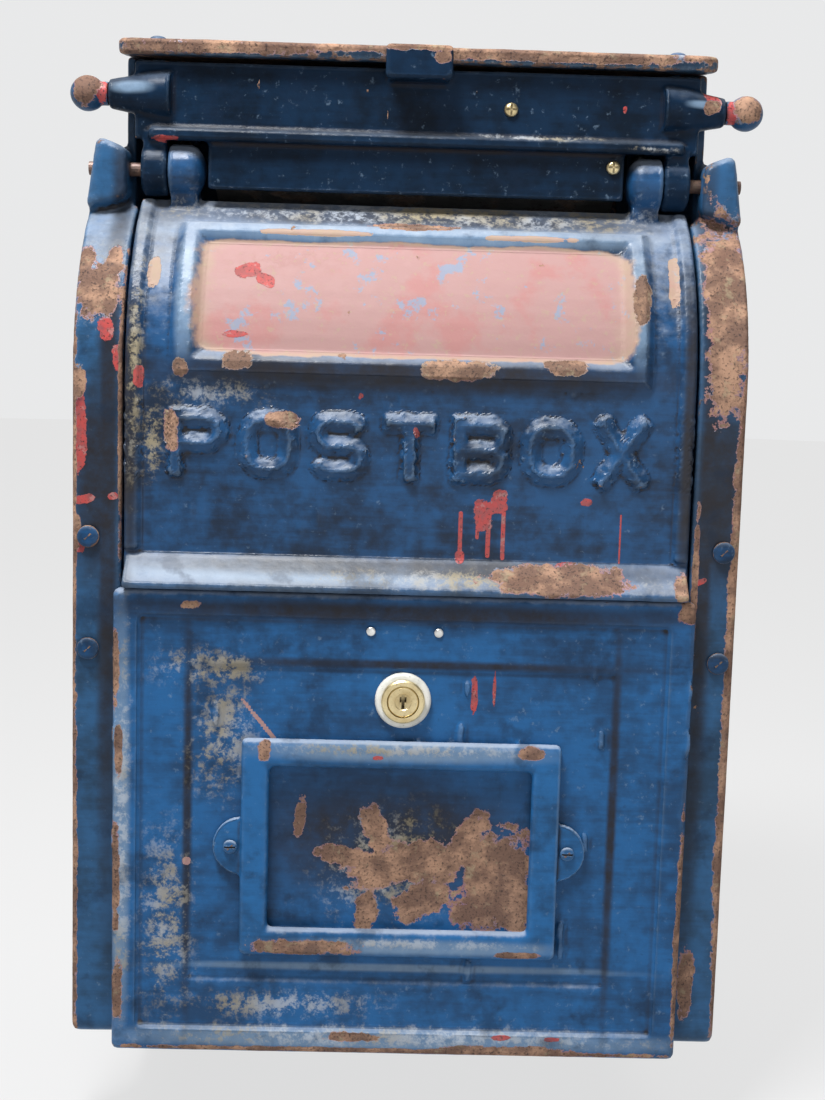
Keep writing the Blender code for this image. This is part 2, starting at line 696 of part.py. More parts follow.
# ---------------------------------------------------------------- flap body


def flap_arm(side):
    """The arm that carries the flap on its outer knuckle."""
    xs = sorted((side * (KNUCKLE_SPLIT + GAP), side * KNUCKLE_OUTER))
    start = (xs[0], HINGE_Y, HINGE_Z)
    edge = 0.0015
    length = xs[1] - xs[0]
    profile = [(0, 0), (0, KNUCKLE_RADIUS - edge), (edge, KNUCKLE_RADIUS)]
    profile += [(length - edge, KNUCKLE_RADIUS), (length, KNUCKLE_RADIUS - edge), (length, 0)]
    knuckle = turned(f"flap_knuckle_{side}", profile, start, (1, 0, 0), flap_body, steps=24)
    low = (xs[0] + 0.001, FLAP_FACE - 0.001, HINGE_Z)
    high = (xs[1] - 0.001, HINGE_Y + 0.006, HINGE_Z + FLAP_WAIST + 0.004)
    return knuckle, box(f"flap_arm_{side}", low, high, flap_body)


def flap_boss(side):
    """The tapered boss that the pull knob screws into."""
    length = BOSS_END - BOSS_START
    profile = [(0, 0), (0, BOSS_ROOT), (0.35 * length, BOSS_ROOT - 0.001)]
    profile += [(0.75 * length, BOSS_TIP + 0.0015), (length, BOSS_TIP), (length, 0)]
    start = (side * BOSS_START, KNOB_Y, KNOB_Z)
    return turned(f"flap_boss_{side}", profile, start, (side, 0, 0), flap_body, steps=24)


def make_flap():
    waist = HINGE_Z + FLAP_WAIST
    made = box("flap", (-FLAP_SIDE, FLAP_FACE, waist), (FLAP_SIDE, FLAP_BACK, FLAP_TOP), flap_body, iron)
    apron_half = KNUCKLE_INNER - SWING_CLEARANCE
    apron_low = (-apron_half, FLAP_FACE + APRON_SETBACK, HINGE_Z - APRON_DROP)
    apron = box("flap_apron", apron_low, (apron_half, FLAP_BACK - 0.0005, waist + 0.002), flap_body)
    round_edges(apron, 0.001)
    rail_half = KNUCKLE_OUTER - 0.004
    rail_low = (-rail_half, FLAP_FACE - MOULDING_DEPTH, waist - 0.0005)
    rail_high = (rail_half, FLAP_FACE + 0.001, waist - 0.0005 + MOULDING_HEIGHT)
    rail = box("flap_moulding", rail_low, rail_high, flap_body)
    round_edges(rail, 0.002)
    tab_foot = FLAP_TOP - 0.0075
    tab_back = ROOF_FRONT - ROOF_THICKNESS * math.sin(ROOF_SLOPE) - SHADOW_GAP
    tab_front = tab_back - TAB_THICKNESS
    tab_high = (TAB_HALF_WIDTH, tab_back, tab_foot + TAB_HEIGHT)
    tab = box("flap_tab", (-TAB_HALF_WIDTH, tab_front, tab_foot), tab_high, flap_body)
    round_edges(tab, 0.002)
    neck_low = (-TAB_HALF_WIDTH + 0.002, tab_front + 0.002, tab_foot + 0.0005)
    neck_high = (TAB_HALF_WIDTH - 0.002, FLAP_BACK - 0.001, FLAP_TOP - 0.0005)
    neck = box("flap_tab_neck", neck_low, neck_high, flap_body)
    unite(made, apron, rail, neck, tab)
    for side in (-1, 1):
        unite(made, *flap_arm(side), flap_boss(side))
    return made


def make_knob(name, side, flap):
    """A ball on a neck, with a shank that fills the boss's bore."""
    ball = KNOB_REACH - BOSS_END - GAP
    throat = KNOB_NECK - KNOB_NECK_EDGE
    reach = math.sqrt(KNOB_RADIUS**2 - throat**2)
    profile = [(-KNOB_SHANK_LENGTH, 0), (-KNOB_SHANK_LENGTH, KNOB_SHANK_RADIUS)]
    profile += [(0, KNOB_SHANK_RADIUS), (0, KNOB_NECK)]
    profile += [(max(ball - reach - KNOB_NECK_EDGE, KNOB_NECK_EDGE), KNOB_NECK)]
    for a, b in arc((0, 0), KNOB_RADIUS, math.pi - math.asin(throat / KNOB_RADIUS), 0, 7):
        profile.append((ball + a, max(b, 0)))
    seat = (side * (BOSS_END + GAP), KNOB_Y, KNOB_Z)
    made = turned(name, profile, seat, (side, 0, 0), flap_body, worn_iron, steps=16)
    start = (side * (BOSS_END + OVERLAP), KNOB_Y, KNOB_Z)
    depth = KNOB_SHANK_LENGTH + OVERLAP + GAP
    bore = rod(name + "_bore", KNOB_SHANK_RADIUS + GAP, start, (-side, 0, 0), depth, flap_body)
    cut(flap, bore)
    return made


def chute_frame():
    """Where the chute bends, and the unit vector along its falling tray."""
    bend = Vector((0, FLAP_BACK + GAP, HINGE_Z + 0.002))
    return bend, Vector((0, math.cos(CHUTE_FALL), -math.sin(CHUTE_FALL)))


def make_chute():
    """A bent sheet behind the flap: its tray keeps letters from being fished out."""
    bend, fall = chute_frame()
    up = Vector((0, -fall.z, fall.y)) * CHUTE_THICKNESS
    end = bend + fall * CHUTE_LENGTH
    inner = bend + Vector((0, CHUTE_THICKNESS, CHUTE_THICKNESS))
    top = FLAP_TOP - 0.004
    points = [bend, end, end + up, inner]
    outline = [(point.y, point.z) for point in points]
    outline += [(inner.y, top), (bend.y, top)]
    return prism("chute_plate", outline, "X", -CHUTE_HALF_WIDTH, CHUTE_HALF_WIDTH, flap_body, steel)


def make_counterweight():
    """A bar under the end of the tray, heavy enough to swing the flap shut."""
    bend, fall = chute_frame()
    down = Vector((0, fall.z, -fall.y))
    corner = bend + fall * CHUTE_LENGTH + down * GAP
    points = [corner, corner + down * WEIGHT_SIZE]
    points += [points[1] - fall * WEIGHT_SIZE, corner - fall * WEIGHT_SIZE]
    outline = [(point.y, point.z) for point in points]
    span = (-WEIGHT_HALF_WIDTH, WEIGHT_HALF_WIDTH)
    made = prism("counterweight", outline, "X", *span, flap_body, iron)
    round_edges(made, 0.001, 1)
    return made


# ---------------------------------------------------------------- door and lock bodies


def door_lug(side):
    """A lug behind the door's foot, turned round the door pin."""
    outer = RIM_INNER - SWING_CLEARANCE
    xs = sorted((side * outer, side * (outer - DOOR_LUG_WIDTH)))
    centre = (DOOR_AXIS_Y, DOOR_PIN_HEIGHT)
    outline = [(DOOR_BACK - 0.001, DOOR_PIN_HEIGHT - DOOR_LUG_RADIUS)]
    outline += arc(centre, DOOR_LUG_RADIUS, -math.pi / 2, math.pi / 2, 8)
    outline += [(DOOR_BACK - 0.001, DOOR_PIN_HEIGHT + DOOR_LUG_RADIUS)]
    return prism(f"door_lug_{side}", outline, "X", *xs, door_body)


def sunk_field(name, half_width, low, high, face, radius):
    outline = rounded_rectangle(-half_width, half_width, low, high, radius)
    return prism(name, outline, "Y", DOOR_FRONT - 0.002, face, door_body)


def make_door():
    low = (-DOOR_HALF, DOOR_FRONT, DOOR_FOOT)
    made = box("door", low, (DOOR_HALF, DOOR_BACK, DOOR_TOP), door_body, iron)
    round_edges(made, 0.003)
    inner_half = DOOR_HALF - INNER_MARGIN
    bead = (DOOR_FOOT + DOOR_BEAD, DOOR_TOP - DOOR_BEAD)
    inner = (DOOR_FOOT + INNER_MARGIN, DOOR_TOP - INNER_MARGIN)
    pocket = (CARD_FOOT + CARD_MEMBER - 0.004, CARD_TOP - CARD_MEMBER + 0.004)
    pocket_half = CARD_HALF_WIDTH - CARD_MEMBER + 0.004
    cut(made, sunk_field("door_field", DOOR_HALF - DOOR_BEAD, *bead, FIELD_Y, 0.003))
    cut(made, sunk_field("door_inner_field", inner_half, *inner, INNER_Y, 0.002))
    cut(made, sunk_field("door_card_pocket", pocket_half, *pocket, INNER_Y + POCKET_DEPTH, 0.002))
    for side in (-1, 1):
        unite(made, door_lug(side))
    cut(made, barrel_hole("lock_hole", DOOR_FRONT - OVERLAP, DOOR_THICKNESS + 2 * OVERLAP))
    return made


def barrel_hole(name, start, depth):
    """A hole along +Y that the lock's barrel passes through."""
    place = (0, start, LOCK_Z)
    return rod(name, LOCK_BARREL_RADIUS + GAP, place, (0, 1, 0), depth, door_body, steps=24)


def make_card_frame():
    """A cast frame with rounded members and two eared lugs for its screws."""
    front = CARD_BACK - CARD_HEIGHT
    low = (-CARD_HALF_WIDTH, front, CARD_FOOT)
    made = box("card_frame", low, (CARD_HALF_WIDTH, CARD_BACK, CARD_TOP), door_body, iron)
    window_half = CARD_HALF_WIDTH - CARD_MEMBER
    window_low = (-window_half, front - 0.002, CARD_FOOT + CARD_MEMBER)
    window_high = (window_half, CARD_BACK + 0.002, CARD_TOP - CARD_MEMBER)
    cut(made, box("card_window", window_low, window_high, door_body))
    round_edges(made, 0.0028, 3)
    for side in (-1, 1):
        unite(made, card_ear(side))
    return made


def card_ear(side):
    """A round lug that keeps clear of the frame's window."""
    start = (side * (CARD_HALF_WIDTH - OVERLAP), CARD_BACK - CARD_EAR_HEIGHT, CARD_MIDDLE)
    height = CARD_EAR_HEIGHT - GAP
    ear = rod(f"card_ear_{side}", CARD_EAR_RADIUS, start, (0, 1, 0), height, door_body, steps=24)
    inner = CARD_HALF_WIDTH - 0.4 * CARD_MEMBER
    reach = CARD_EAR_RADIUS + OVERLAP
    low = (-inner, start[1] - OVERLAP, CARD_MIDDLE - reach)
    high = (inner, CARD_BACK + OVERLAP, CARD_MIDDLE + reach)
    cut(ear, box(f"card_ear_trim_{side}", low, high, door_body))
    return ear


def make_lock_ring():
    """A pale washer that dresses the lock's hole."""
    face = INNER_Y - GAP
    edge = 0.0008
    profile = [(0, 0), (0, RING_RADIUS), (RING_HEIGHT - edge, RING_RADIUS)]
    profile += [(RING_HEIGHT, RING_RADIUS - edge), (RING_HEIGHT, 0)]
    place = (0, face, LOCK_Z)
    made = turned("lock_ring", profile, place, (0, -1, 0), door_body, pale_ring, steps=28)
    start = face - RING_HEIGHT - OVERLAP
    cut(made, barrel_hole("ring_hole", start, RING_HEIGHT + 2 * OVERLAP))
    return made


def make_lock_body():
    """A brass barrel with a face flange and a bore for the plug."""
    seat = INNER_Y - 2 * GAP - RING_HEIGHT
    front = INNER_Y - LOCK_PROUD
    flange = seat - front
    length = LOCK_REAR - front
    edge = 0.0007
    profile = [(0, 0), (0, LOCK_FACE_RADIUS - edge), (edge, LOCK_FACE_RADIUS)]
    profile += [(flange, LOCK_FACE_RADIUS), (flange, LOCK_BARREL_RADIUS)]
    profile += [(length, LOCK_BARREL_RADIUS), (length, 0)]
    place = (0, front, LOCK_Z)
    made = turned("lock_body", profile, place, (0, 1, 0), door_body, brass, steps=28)
    start = (0, front - OVERLAP, LOCK_Z)
    depth = length + 2 * OVERLAP
    radius = LOCK_PLUG_RADIUS + GAP
    cut(made, rod("lock_bore", radius, start, (0, 1, 0), depth, door_body, steps=24))
    return made


def make_lock_nut():
    outline = list(arc((0, LOCK_Z), NUT_RADIUS, 0, math.tau, 6))[:-1]
    start = DOOR_BACK + GAP
    made = prism("lock_nut", outline, "Y", start, start + NUT_THICKNESS, door_body, steel)
    cut(made, barrel_hole("nut_hole", start - OVERLAP, NUT_THICKNESS + 2 * OVERLAP))
    return made


def make_lock_plug():
    front = INNER_Y - LOCK_PROUD + GAP
    length = LOCK_REAR - front
    place = (0, front, LOCK_Z)
    radius = LOCK_PLUG_RADIUS
    made = rod("lock_plug", radius, place, (0, 1, 0), length, lock_body, brass, steps=24)
    low = (-KEYWAY_HALF_WIDTH, front - OVERLAP, LOCK_Z - KEYWAY_HALF_HEIGHT)
    high = (KEYWAY_HALF_WIDTH, front + KEYWAY_DEPTH, LOCK_Z + KEYWAY_HALF_HEIGHT)
    cut(made, box("keyway", low, high, lock_body))
    return made


def make_cam():
    """The cam points sideways when unlocked and up behind the panel's foot when locked."""
    half = CAM_WIDTH / 2
    reach = PANEL_FOOT + CAM_OVERLAP - LOCK_Z
    outline = list(arc((0, LOCK_Z), half, math.pi / 2, 1.5 * math.pi, 8))
    outline += list(arc((reach - half, LOCK_Z), half, -math.pi / 2, math.pi / 2, 8))
    return prism("lock_cam", outline, "Y", CAM_FRONT, CAM_FRONT + CAM_THICKNESS, lock_body, steel)


def make_rivet(name, side, door, strip):
    """A flat-headed rivet through the door and the strip behind it."""
    head, rim = RIVET_HEAD_HEIGHT, RIVET_HEAD_RADIUS
    shank = FIELD_Y - GAP
    length = DOOR_BACK + 2 * GAP + STRIP_THICKNESS - shank
    profile = [(-head, 0), (-head, 0.8 * rim), (-0.4 * head, rim), (0, rim)]
    profile += [(0, RIVET_SHANK_RADIUS), (length, RIVET_SHANK_RADIUS), (length, 0)]
    place = (side * RIVET_HALF_SPACING, shank, RIVET_Z)
    made = turned(name, profile, place, (0, 1, 0), door_body, steel, steps=16)
    start = (place[0], shank - GAP, RIVET_Z)
    radius, depth = RIVET_SHANK_RADIUS + GAP, length + 3 * OVERLAP
    hole = rod(name + "_hole", radius, start, (0, 1, 0), depth, door_body, steps=12)
    cut(door, hole)
    cut(strip, hole)
    return made


def make_strip():
    """A steel strip behind the door that the rivets hold."""
    start = DOOR_BACK + GAP
    half = RIVET_HALF_SPACING + STRIP_MARGIN
    low = (-half, start, RIVET_Z - STRIP_DROP)
    high = (half, start + STRIP_THICKNESS, RIVET_Z + STRIP_RISE)
    return box("rivet_strip", low, high, door_body, steel)


# ---------------------------------------------------------------- pins and rows of screws


def make_flap_pin(word, side, pieces):
    outer = RIM_HALF_WIDTH + OVERLAP
    length = outer - KNUCKLE_INNER - FLAP_PIN_COVER
    start = (side * outer, HINGE_Y, HINGE_Z)
    rod(f"flap_pin_{word}", PIN_RADIUS, start, (-side, 0, 0), length, case, worn_iron)
    start = (side * (outer + OVERLAP), HINGE_Y, HINGE_Z)
    radius, depth = PIN_RADIUS + GAP, length + OVERLAP + GAP
    hole = rod(f"flap_pin_hole_{word}", radius, start, (-side, 0, 0), depth, case, steps=18)
    for piece in pieces:
        cut(piece, hole)


def make_door_pin(word, side, pieces):
    start = (side * WALL_OUTER, DOOR_AXIS_Y, DOOR_PIN_HEIGHT)
    length = WALL_OUTER - RIM_INNER + SWING_CLEARANCE + DOOR_LUG_WIDTH + OVERLAP
    rod(f"door_pin_{word}", DOOR_PIN_RADIUS, start, (-side, 0, 0), length, case, steel)
    start = (side * (WALL_OUTER + GAP), DOOR_AXIS_Y, DOOR_PIN_HEIGHT)
    radius, depth = DOOR_PIN_RADIUS + GAP, length + OVERLAP
    hole = rod(f"door_pin_hole_{word}", radius, start, (-side, 0, 0), depth, case)
    for piece in pieces:
        cut(piece, hole)


def case_screws(word, side, wall):
    """The screws that join one side casting to the panel and the three plates."""
    lug_x = side * (LUG_INNER + LUG_WIDTH / 2)
    places = [(side * WALL_OUTER, y, z) for y, z in PANEL_SCREWS]
    pieces = (wall, front_panel)
    length = PANEL_SCREW_LENGTH
    screws(f"panel_screw_{word}", places, (-side, 0, 0), SCREW_RADIUS, length, pieces, case, steel)
    places = [(lug_x, y, z) for y, z in BACK_SCREWS]
    pieces = (wall, back_plate)
    length = BACK_SCREW_LENGTH
    screws(f"back_screw_{word}", places, (0, 1, 0), SCREW_RADIUS, length, pieces, case, steel)
    places = [(lug_x, y, BOTTOM_HEIGHT + BOTTOM_THICKNESS) for y in BOTTOM_SCREWS]
    pieces = (bottom_plate, wall)
    length = BOTTOM_SCREW_LENGTH
    screws(f"bottom_screw_{word}", places, (0, 0, -1), SCREW_RADIUS, length, pieces, case, steel)
    normal = Vector((0, -math.sin(ROOF_SLOPE), math.cos(ROOF_SLOPE)))
    places = []
    for y in ROOF_SCREWS:
        foot = Vector((lug_x, y, ROOF_UNDERSIDE + (y - ROOF_FRONT) * math.tan(ROOF_SLOPE)))
        places.append(foot + normal * ROOF_THICKNESS)
    pieces = (roof_plate, wall)
    length = ROOF_SCREW_LENGTH
    screws(f"roof_screw_{word}", places, -normal, SCREW_RADIUS, length, pieces, case, iron)


def rim_bolts(word, side, wall):
    """Two bolts in the rim, one on each side of the panel's ledge."""
    x = side * (WALL_OUTER + RIM_HALF_WIDTH) / 2
    heights = (DOOR_TOP - RIM_BOLT_DROP, LEDGE_UNDERSIDE + RIM_BOLT_RISE)
    places = [(x, FRONT, z) for z in heights]
    length = RIM_THICKNESS + 0.003
    screws(f"rim_bolt_{word}", places, (0, 1, 0), RIM_BOLT_RADIUS, length, (wall,), case, iron)


def weight_screw(word, side):
    bend, fall = chute_frame()
    normal = Vector((0, -fall.z, fall.y))
    place = bend + fall * (CHUTE_LENGTH - WEIGHT_SIZE / 2) + normal * CHUTE_THICKNESS
    place.x = side * (WEIGHT_HALF_WIDTH - WEIGHT_SCREW_INSET)
    pieces = (chute, counterweight)
    length = WEIGHT_SCREW_LENGTH
    screw(f"weight_screw_{word}", place, -normal, SCREW_RADIUS, length, pieces, flap_body, steel)


def card_screw(word, side):
    place = (side * (CARD_HALF_WIDTH + CARD_SCREW_OUTSET), CARD_BACK - CARD_EAR_HEIGHT, CARD_MIDDLE)
    pieces = (card_frame, door)
    radius, length = SMALL_SCREW_RADIUS, CARD_SCREW_LENGTH
    screw(f"card_screw_{word}", place, (0, 1, 0), radius, length, pieces, door_body, steel)


def flap_screws():
    """Two brass screws that hold the chute plate to the flap."""
    lower = (CHUTE_HALF_WIDTH - FLAP_SCREW_LOWER[0], FLAP_SCREW_LOWER[1])
    for index, (x, rise) in enumerate((FLAP_SCREW_UPPER, lower)):
        apron_step = 0 if rise > FLAP_WAIST else APRON_SETBACK
        place = (x, FLAP_FACE + apron_step, HINGE_Z + rise)
        name, radius, length = f"flap_screw_{index + 1}", SMALL_SCREW_RADIUS, FLAP_SCREW_LENGTH
        screw(name, place, (0, 1, 0), radius, length, (flap, chute), flap_body, brass, True)


# ---------------------------------------------------------------- assembly

BACK_SCREW_ROWS = (BACK_SCREW_FOOT, MOUNT_HEIGHT - PLATE_SCREW_MARGIN, HINGE_Z + PLATE_SCREW_MARGIN)
BACK_SCREWS = [(WALL_BACK - LUG_DEPTH, z) for z in BACK_SCREW_ROWS]
BOTTOM_SCREWS = (WALL_BACK - PLATE_SCREW_MARGIN, FRONT + BOTTOM_FRONT_SETBACK + FRONT_SCREW_MARGIN)
ROOF_SCREWS = (WALL_BACK - PLATE_SCREW_MARGIN, WALL_TOP_FRONT + FRONT_SCREW_MARGIN)
PANEL_SCREWS = [
    (behind_rim(z + LUG_LENGTH / 2) + LUG_LENGTH / 2 + SHADOW_GAP, z)
    for z in (LEDGE_UNDERSIDE + PLATE_SCREW_MARGIN, SHOULDER_HEIGHT + 0.35 * SHOULDER_RADIUS)
]

clear_scene()
iron = make_material("blue_painted_iron", (0.020, 0.075, 0.190), 0.42, 0.0)
worn_iron = make_material("bare_worn_iron", (0.110, 0.065, 0.050), 0.60, 0.4)
steel = make_material("plain_steel", (0.550, 0.550, 0.530), 0.35, 1.0)
brass = make_material("lock_brass", (0.720, 0.600, 0.330), 0.30, 1.0)
pale_ring = make_material("pale_ring", (0.780, 0.760, 0.680), 0.50, 0.0)

case = empty_at("case", (0, 0, -MOUNT_HEIGHT))
flap_body = empty_at("flap_hinge_axis", (0, HINGE_Y, HINGE_Z), case)
door_body = empty_at("door_hinge_axis", (0, DOOR_AXIS_Y, DOOR_PIN_HEIGHT), case)
lock_body = empty_at("lock_axis", (0, 0, LOCK_Z), case)

back_plate = make_back_plate()
bottom_plate = make_bottom_plate()
roof_plate = make_roof()
front_panel = make_front_panel()
sides = {-1: make_side("side_left", -1), 1: make_side("side_right", 1)}
flap = make_flap()
chute = make_chute()
counterweight = make_counterweight()
door = make_door()
card_frame = make_card_frame()
strip = make_strip()
make_lock_ring()
make_lock_body()
make_lock_nut()
plug = make_lock_plug()
cam = make_cam()
cam_seat = (0, CAM_FRONT + CAM_THICKNESS, LOCK_Z)
length = CAM_SCREW_LENGTH
screw("cam_screw", cam_seat, (0, -1, 0), CAM_SCREW_RADIUS, length, (cam, plug), lock_body, steel)

for side, word in ((-1, "left"), (1, "right")):
    make_knob(f"pull_knob_{word}", side, flap)
    make_flap_pin(word, side, (sides[side], front_panel, flap))
    make_door_pin(word, side, (sides[side], door))
    case_screws(word, side, sides[side])
    rim_bolts(word, side, sides[side])
    card_screw(word, side)
    make_rivet(f"rivet_{word}", side, door, strip)
    weight_screw(word, side)

flap_screws()
for piece in (front_panel, flap, door, *sides.values()):
    weld(piece)
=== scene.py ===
# %% [markdown]
# # An old cast-iron post box
#
# The real object is a wall-hung letter box: two side castings with a broad rim, a front
# panel that curves back at the shoulder, a pull-down letter flap under a small roof and a
# collection door hinged at its foot. Everything iron wears many coats of blue enamel over
# red and pink primers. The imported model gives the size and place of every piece, so it is
# loaded first and nothing below moves it. Each casting is then given the soft edges and
# the thick, dimpled paint of the real thing.

import math
import random

import bpy
import numpy as np
from mathutils import Matrix, Vector, noise


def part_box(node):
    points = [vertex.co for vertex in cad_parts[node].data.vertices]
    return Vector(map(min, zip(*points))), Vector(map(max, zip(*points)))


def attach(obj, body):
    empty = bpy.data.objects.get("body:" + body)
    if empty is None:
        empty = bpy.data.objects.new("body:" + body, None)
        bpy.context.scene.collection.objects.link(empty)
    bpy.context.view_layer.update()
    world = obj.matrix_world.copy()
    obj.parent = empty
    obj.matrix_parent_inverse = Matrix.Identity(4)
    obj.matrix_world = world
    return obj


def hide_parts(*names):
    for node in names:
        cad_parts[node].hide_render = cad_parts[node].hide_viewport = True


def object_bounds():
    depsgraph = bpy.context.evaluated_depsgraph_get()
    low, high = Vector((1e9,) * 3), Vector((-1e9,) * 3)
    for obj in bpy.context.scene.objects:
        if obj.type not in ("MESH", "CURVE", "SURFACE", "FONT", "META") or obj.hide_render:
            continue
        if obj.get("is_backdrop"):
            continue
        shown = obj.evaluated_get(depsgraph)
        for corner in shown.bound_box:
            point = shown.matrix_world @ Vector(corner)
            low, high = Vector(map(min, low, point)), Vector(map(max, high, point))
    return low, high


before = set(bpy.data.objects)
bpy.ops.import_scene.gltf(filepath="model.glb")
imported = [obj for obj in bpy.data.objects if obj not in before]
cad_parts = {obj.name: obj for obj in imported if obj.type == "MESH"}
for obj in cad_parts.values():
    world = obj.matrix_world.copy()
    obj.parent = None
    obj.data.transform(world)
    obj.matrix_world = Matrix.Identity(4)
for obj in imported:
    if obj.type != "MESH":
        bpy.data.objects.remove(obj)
cad_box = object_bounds()
print("box in mm:", [[round(1000 * value) for value in corner] for corner in cad_box])

# %% [markdown]
# ## Places that the pieces share
#
# A place that is read from a neighbour can't drift away from it. The lines below ask the
# frame where the main castings are, and the rest of the script counts from them.

# %% Read the main places
MM = 0.001
door_low, door_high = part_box("door")
flap_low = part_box("flap")[0]
card_low, card_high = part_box("card_frame")
side_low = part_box("side_right")[0]
roof_low, roof_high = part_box("roof_plate")
lock_low, lock_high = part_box("lock_body")
print("door foot and top:", round(door_low.z, 4), round(door_high.z, 4))

# %% [markdown]
# ## Working with operators
#
# Blender's operators act on whatever is selected, and loading the frame leaves its nodes
# selected. So every step starts from a clean selection, and a modifier is applied as soon
# as it is set, which leaves a plain mesh behind.

# %% Selection and modifier helpers


def pick(*objects):
    """Selects only these objects; the first is active."""
    if bpy.context.mode != "OBJECT":
        bpy.ops.object.mode_set(mode="OBJECT")
    bpy.ops.object.select_all(action="DESELECT")
    for obj in objects:
        obj.select_set(True)
    bpy.context.view_layer.objects.active = objects[0]


def finish_with(obj, kind, **settings):
    """Adds a modifier, sets it and applies it."""
    pick(obj)
    modifier = obj.modifiers.new(kind.lower(), kind)
    for key, value in settings.items():
        setattr(modifier, key, value)
    bpy.ops.object.modifier_apply(modifier=modifier.name)


def clean(obj, distance=0.01 * MM):
    """Merges doubles and turns every face outwards."""
    pick(obj)
    bpy.ops.object.mode_set(mode="EDIT")
    bpy.ops.mesh.select_all(action="SELECT")
    bpy.ops.mesh.remove_doubles(threshold=distance)
    bpy.ops.mesh.normals_make_consistent(inside=False)
    bpy.ops.object.mode_set(mode="OBJECT")


def clouds(name, size, depth=2):
    """A procedural noise for the Displace modifier; size is that of its largest lumps."""
    texture = bpy.data.textures.new(name, "CLOUDS")
    texture.noise_scale = size
    texture.noise_depth = depth
    return texture


swell = clouds("swell", 28 * MM)
dimple = clouds("dimple", 6 * MM, 3)


def triangles(obj):
    """How many triangles a mesh would make."""
    return sum(len(face.vertices) - 2 for face in obj.data.polygons)


# %% [markdown]
# ## From a sharp solid to a painted casting
#
# A casting leaves its sand mould with round edges, and forty years of brushed enamel
# round it further. A Bevel modifier could round single edges, but it fails where mouldings
# cross. A voxel remesh melts all of a casting's shapes into one skin instead: runs and
# drips that are added first fuse with it, a little smoothing fills the inner corners as
# paint does, and two layers of soft noise make the surface swell and dimple.

# %% A casting from its CAD node


def skin(node, voxel, lumps=(), soften=3, swelling=0.25 * MM, dimpling=0.16 * MM):
    """A thickly painted copy of a CAD node, with lumps of paint melted into it."""
    piece = bpy.data.objects.new(node + "_casting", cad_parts[node].data.copy())
    bpy.context.scene.collection.objects.link(piece)
    piece.data.materials.clear()
    clean(piece)
    if lumps:
        pick(piece, *lumps)
        bpy.ops.object.join()
    finish_with(piece, "REMESH", mode="VOXEL", voxel_size=voxel)
    finish_with(piece, "SMOOTH", factor=0.5, iterations=soften)
    for texture, strength in ((swell, swelling), (dimple, dimpling)):
        finish_with(piece, "DISPLACE", texture=texture, texture_coords="LOCAL",
                    strength=strength, mid_level=0.5)
    piece.data.shade_smooth()
    print(piece.name, triangles(piece), "triangles")
    return piece


# %% [markdown]
# ## Runs of paint
#
# Enamel that is laid on thick sags before it dries: it hangs in teardrops under ledges and
# beads and leaves lumps on them. One small sphere per run, stretched downwards, is enough,
# because the remesh blends it in. A seeded random generator scatters them, so each run of
# the script gives the same box.

# %% Drips and lumps
chance = random.Random(1887)


def lump(place, size):
    """A rounded blob of paint; size is its three radii."""
    bpy.ops.object.select_all(action="DESELECT")
    bpy.ops.mesh.primitive_uv_sphere_add(segments=12, ring_count=8, radius=1, location=place)
    blob = bpy.context.active_object
    blob.scale = size
    bpy.ops.object.transform_apply(location=True, rotation=True, scale=True)
    return blob


def drips(count, x_span, y, z_span, width=1.5 * MM, length=5 * MM):
    """Scattered runs on a front face at depth y."""
    found = []
    for _ in range(count):
        share = chance.uniform(0.6, 1.5)
        place = (chance.uniform(*x_span), y, chance.uniform(*z_span))
        found.append(lump(place, (width * share, 0.45 * MM * share, length * share)))
    return found


# %% [markdown]
# ## Marking where the paint is worn
#
# Wear has a history: rain lies on the shoulder, keys scratch round the lock, hands rub
# the edges. So each casting carries a few named fields, numbers stored on its points, that
# say how deep a point lies in a worn spot; one field marks painted shade instead, under
# ledges, between parts and in recesses. The shader roughens their outlines with noise.
# A field on the points keeps the render fast, and the spots stay with the piece as it
# swings.

# %% Worn spots and painted shade as point attributes
EDGE = 1.5


def mark(piece, field, spots, front_only=True, squareness=2.6):
    """Stores a field: 0.5 on a spot's outline, more inside it and 0 well outside."""
    count = len(piece.data.vertices)
    points = np.empty(count * 3, np.float32)
    piece.data.vertices.foreach_get("co", points)
    normals = np.empty(count * 3, np.float32)
    piece.data.vertices.foreach_get("normal", normals)
    points, normals = points.reshape(-1, 3), normals.reshape(-1, 3)
    depth = np.zeros(count, np.float32)
    for x, z, half_x, half_z, lean in spots:
        turn = math.radians(lean)
        across = (points[:, 0] - x) * math.cos(turn) + (points[:, 2] - z) * math.sin(turn)
        along = (points[:, 2] - z) * math.cos(turn) - (points[:, 0] - x) * math.sin(turn)
        reach = np.abs(across / half_x) ** squareness + np.abs(along / half_z) ** squareness
        reach = reach ** (1 / squareness)
        depth = np.maximum(depth, EDGE - reach)
    if front_only:
        depth[normals[:, 1] > -0.15] = 0
    stored = piece.data.attributes.get(field)
    if stored:
        earlier = np.empty(count, np.float32)
        stored.data.foreach_get("value", earlier)
        depth = np.maximum(depth, earlier)
    else:
        stored = piece.data.attributes.new(field, "FLOAT", "POINT")
    stored.data.foreach_set("value", depth)


def crust(piece, amount, size, where):
    """Roughens the points that where(place, normal) picks, as flaking paint does."""
    for vertex in piece.data.vertices:
        share = where(vertex.co, vertex.normal)
        if share:
            height = noise.noise(vertex.co / size) + 0.5 * noise.noise(2.3 * vertex.co / size)
            vertex.co = vertex.co + vertex.normal * (share * amount * height)
    piece.data.update()


# %% [markdown]
# ## Shader maths as Python expressions
#
# A worn enamel needs dozens of small sums, and wiring each Math node by hand hides the
# idea behind the plumbing. This small class wraps a socket, so that `1 - mask` or
# `a * b + 0.2` adds the nodes by itself. Everything else comes from one method that takes
# a node's type, its settings and its inputs.

# %% The Sock and Paint classes


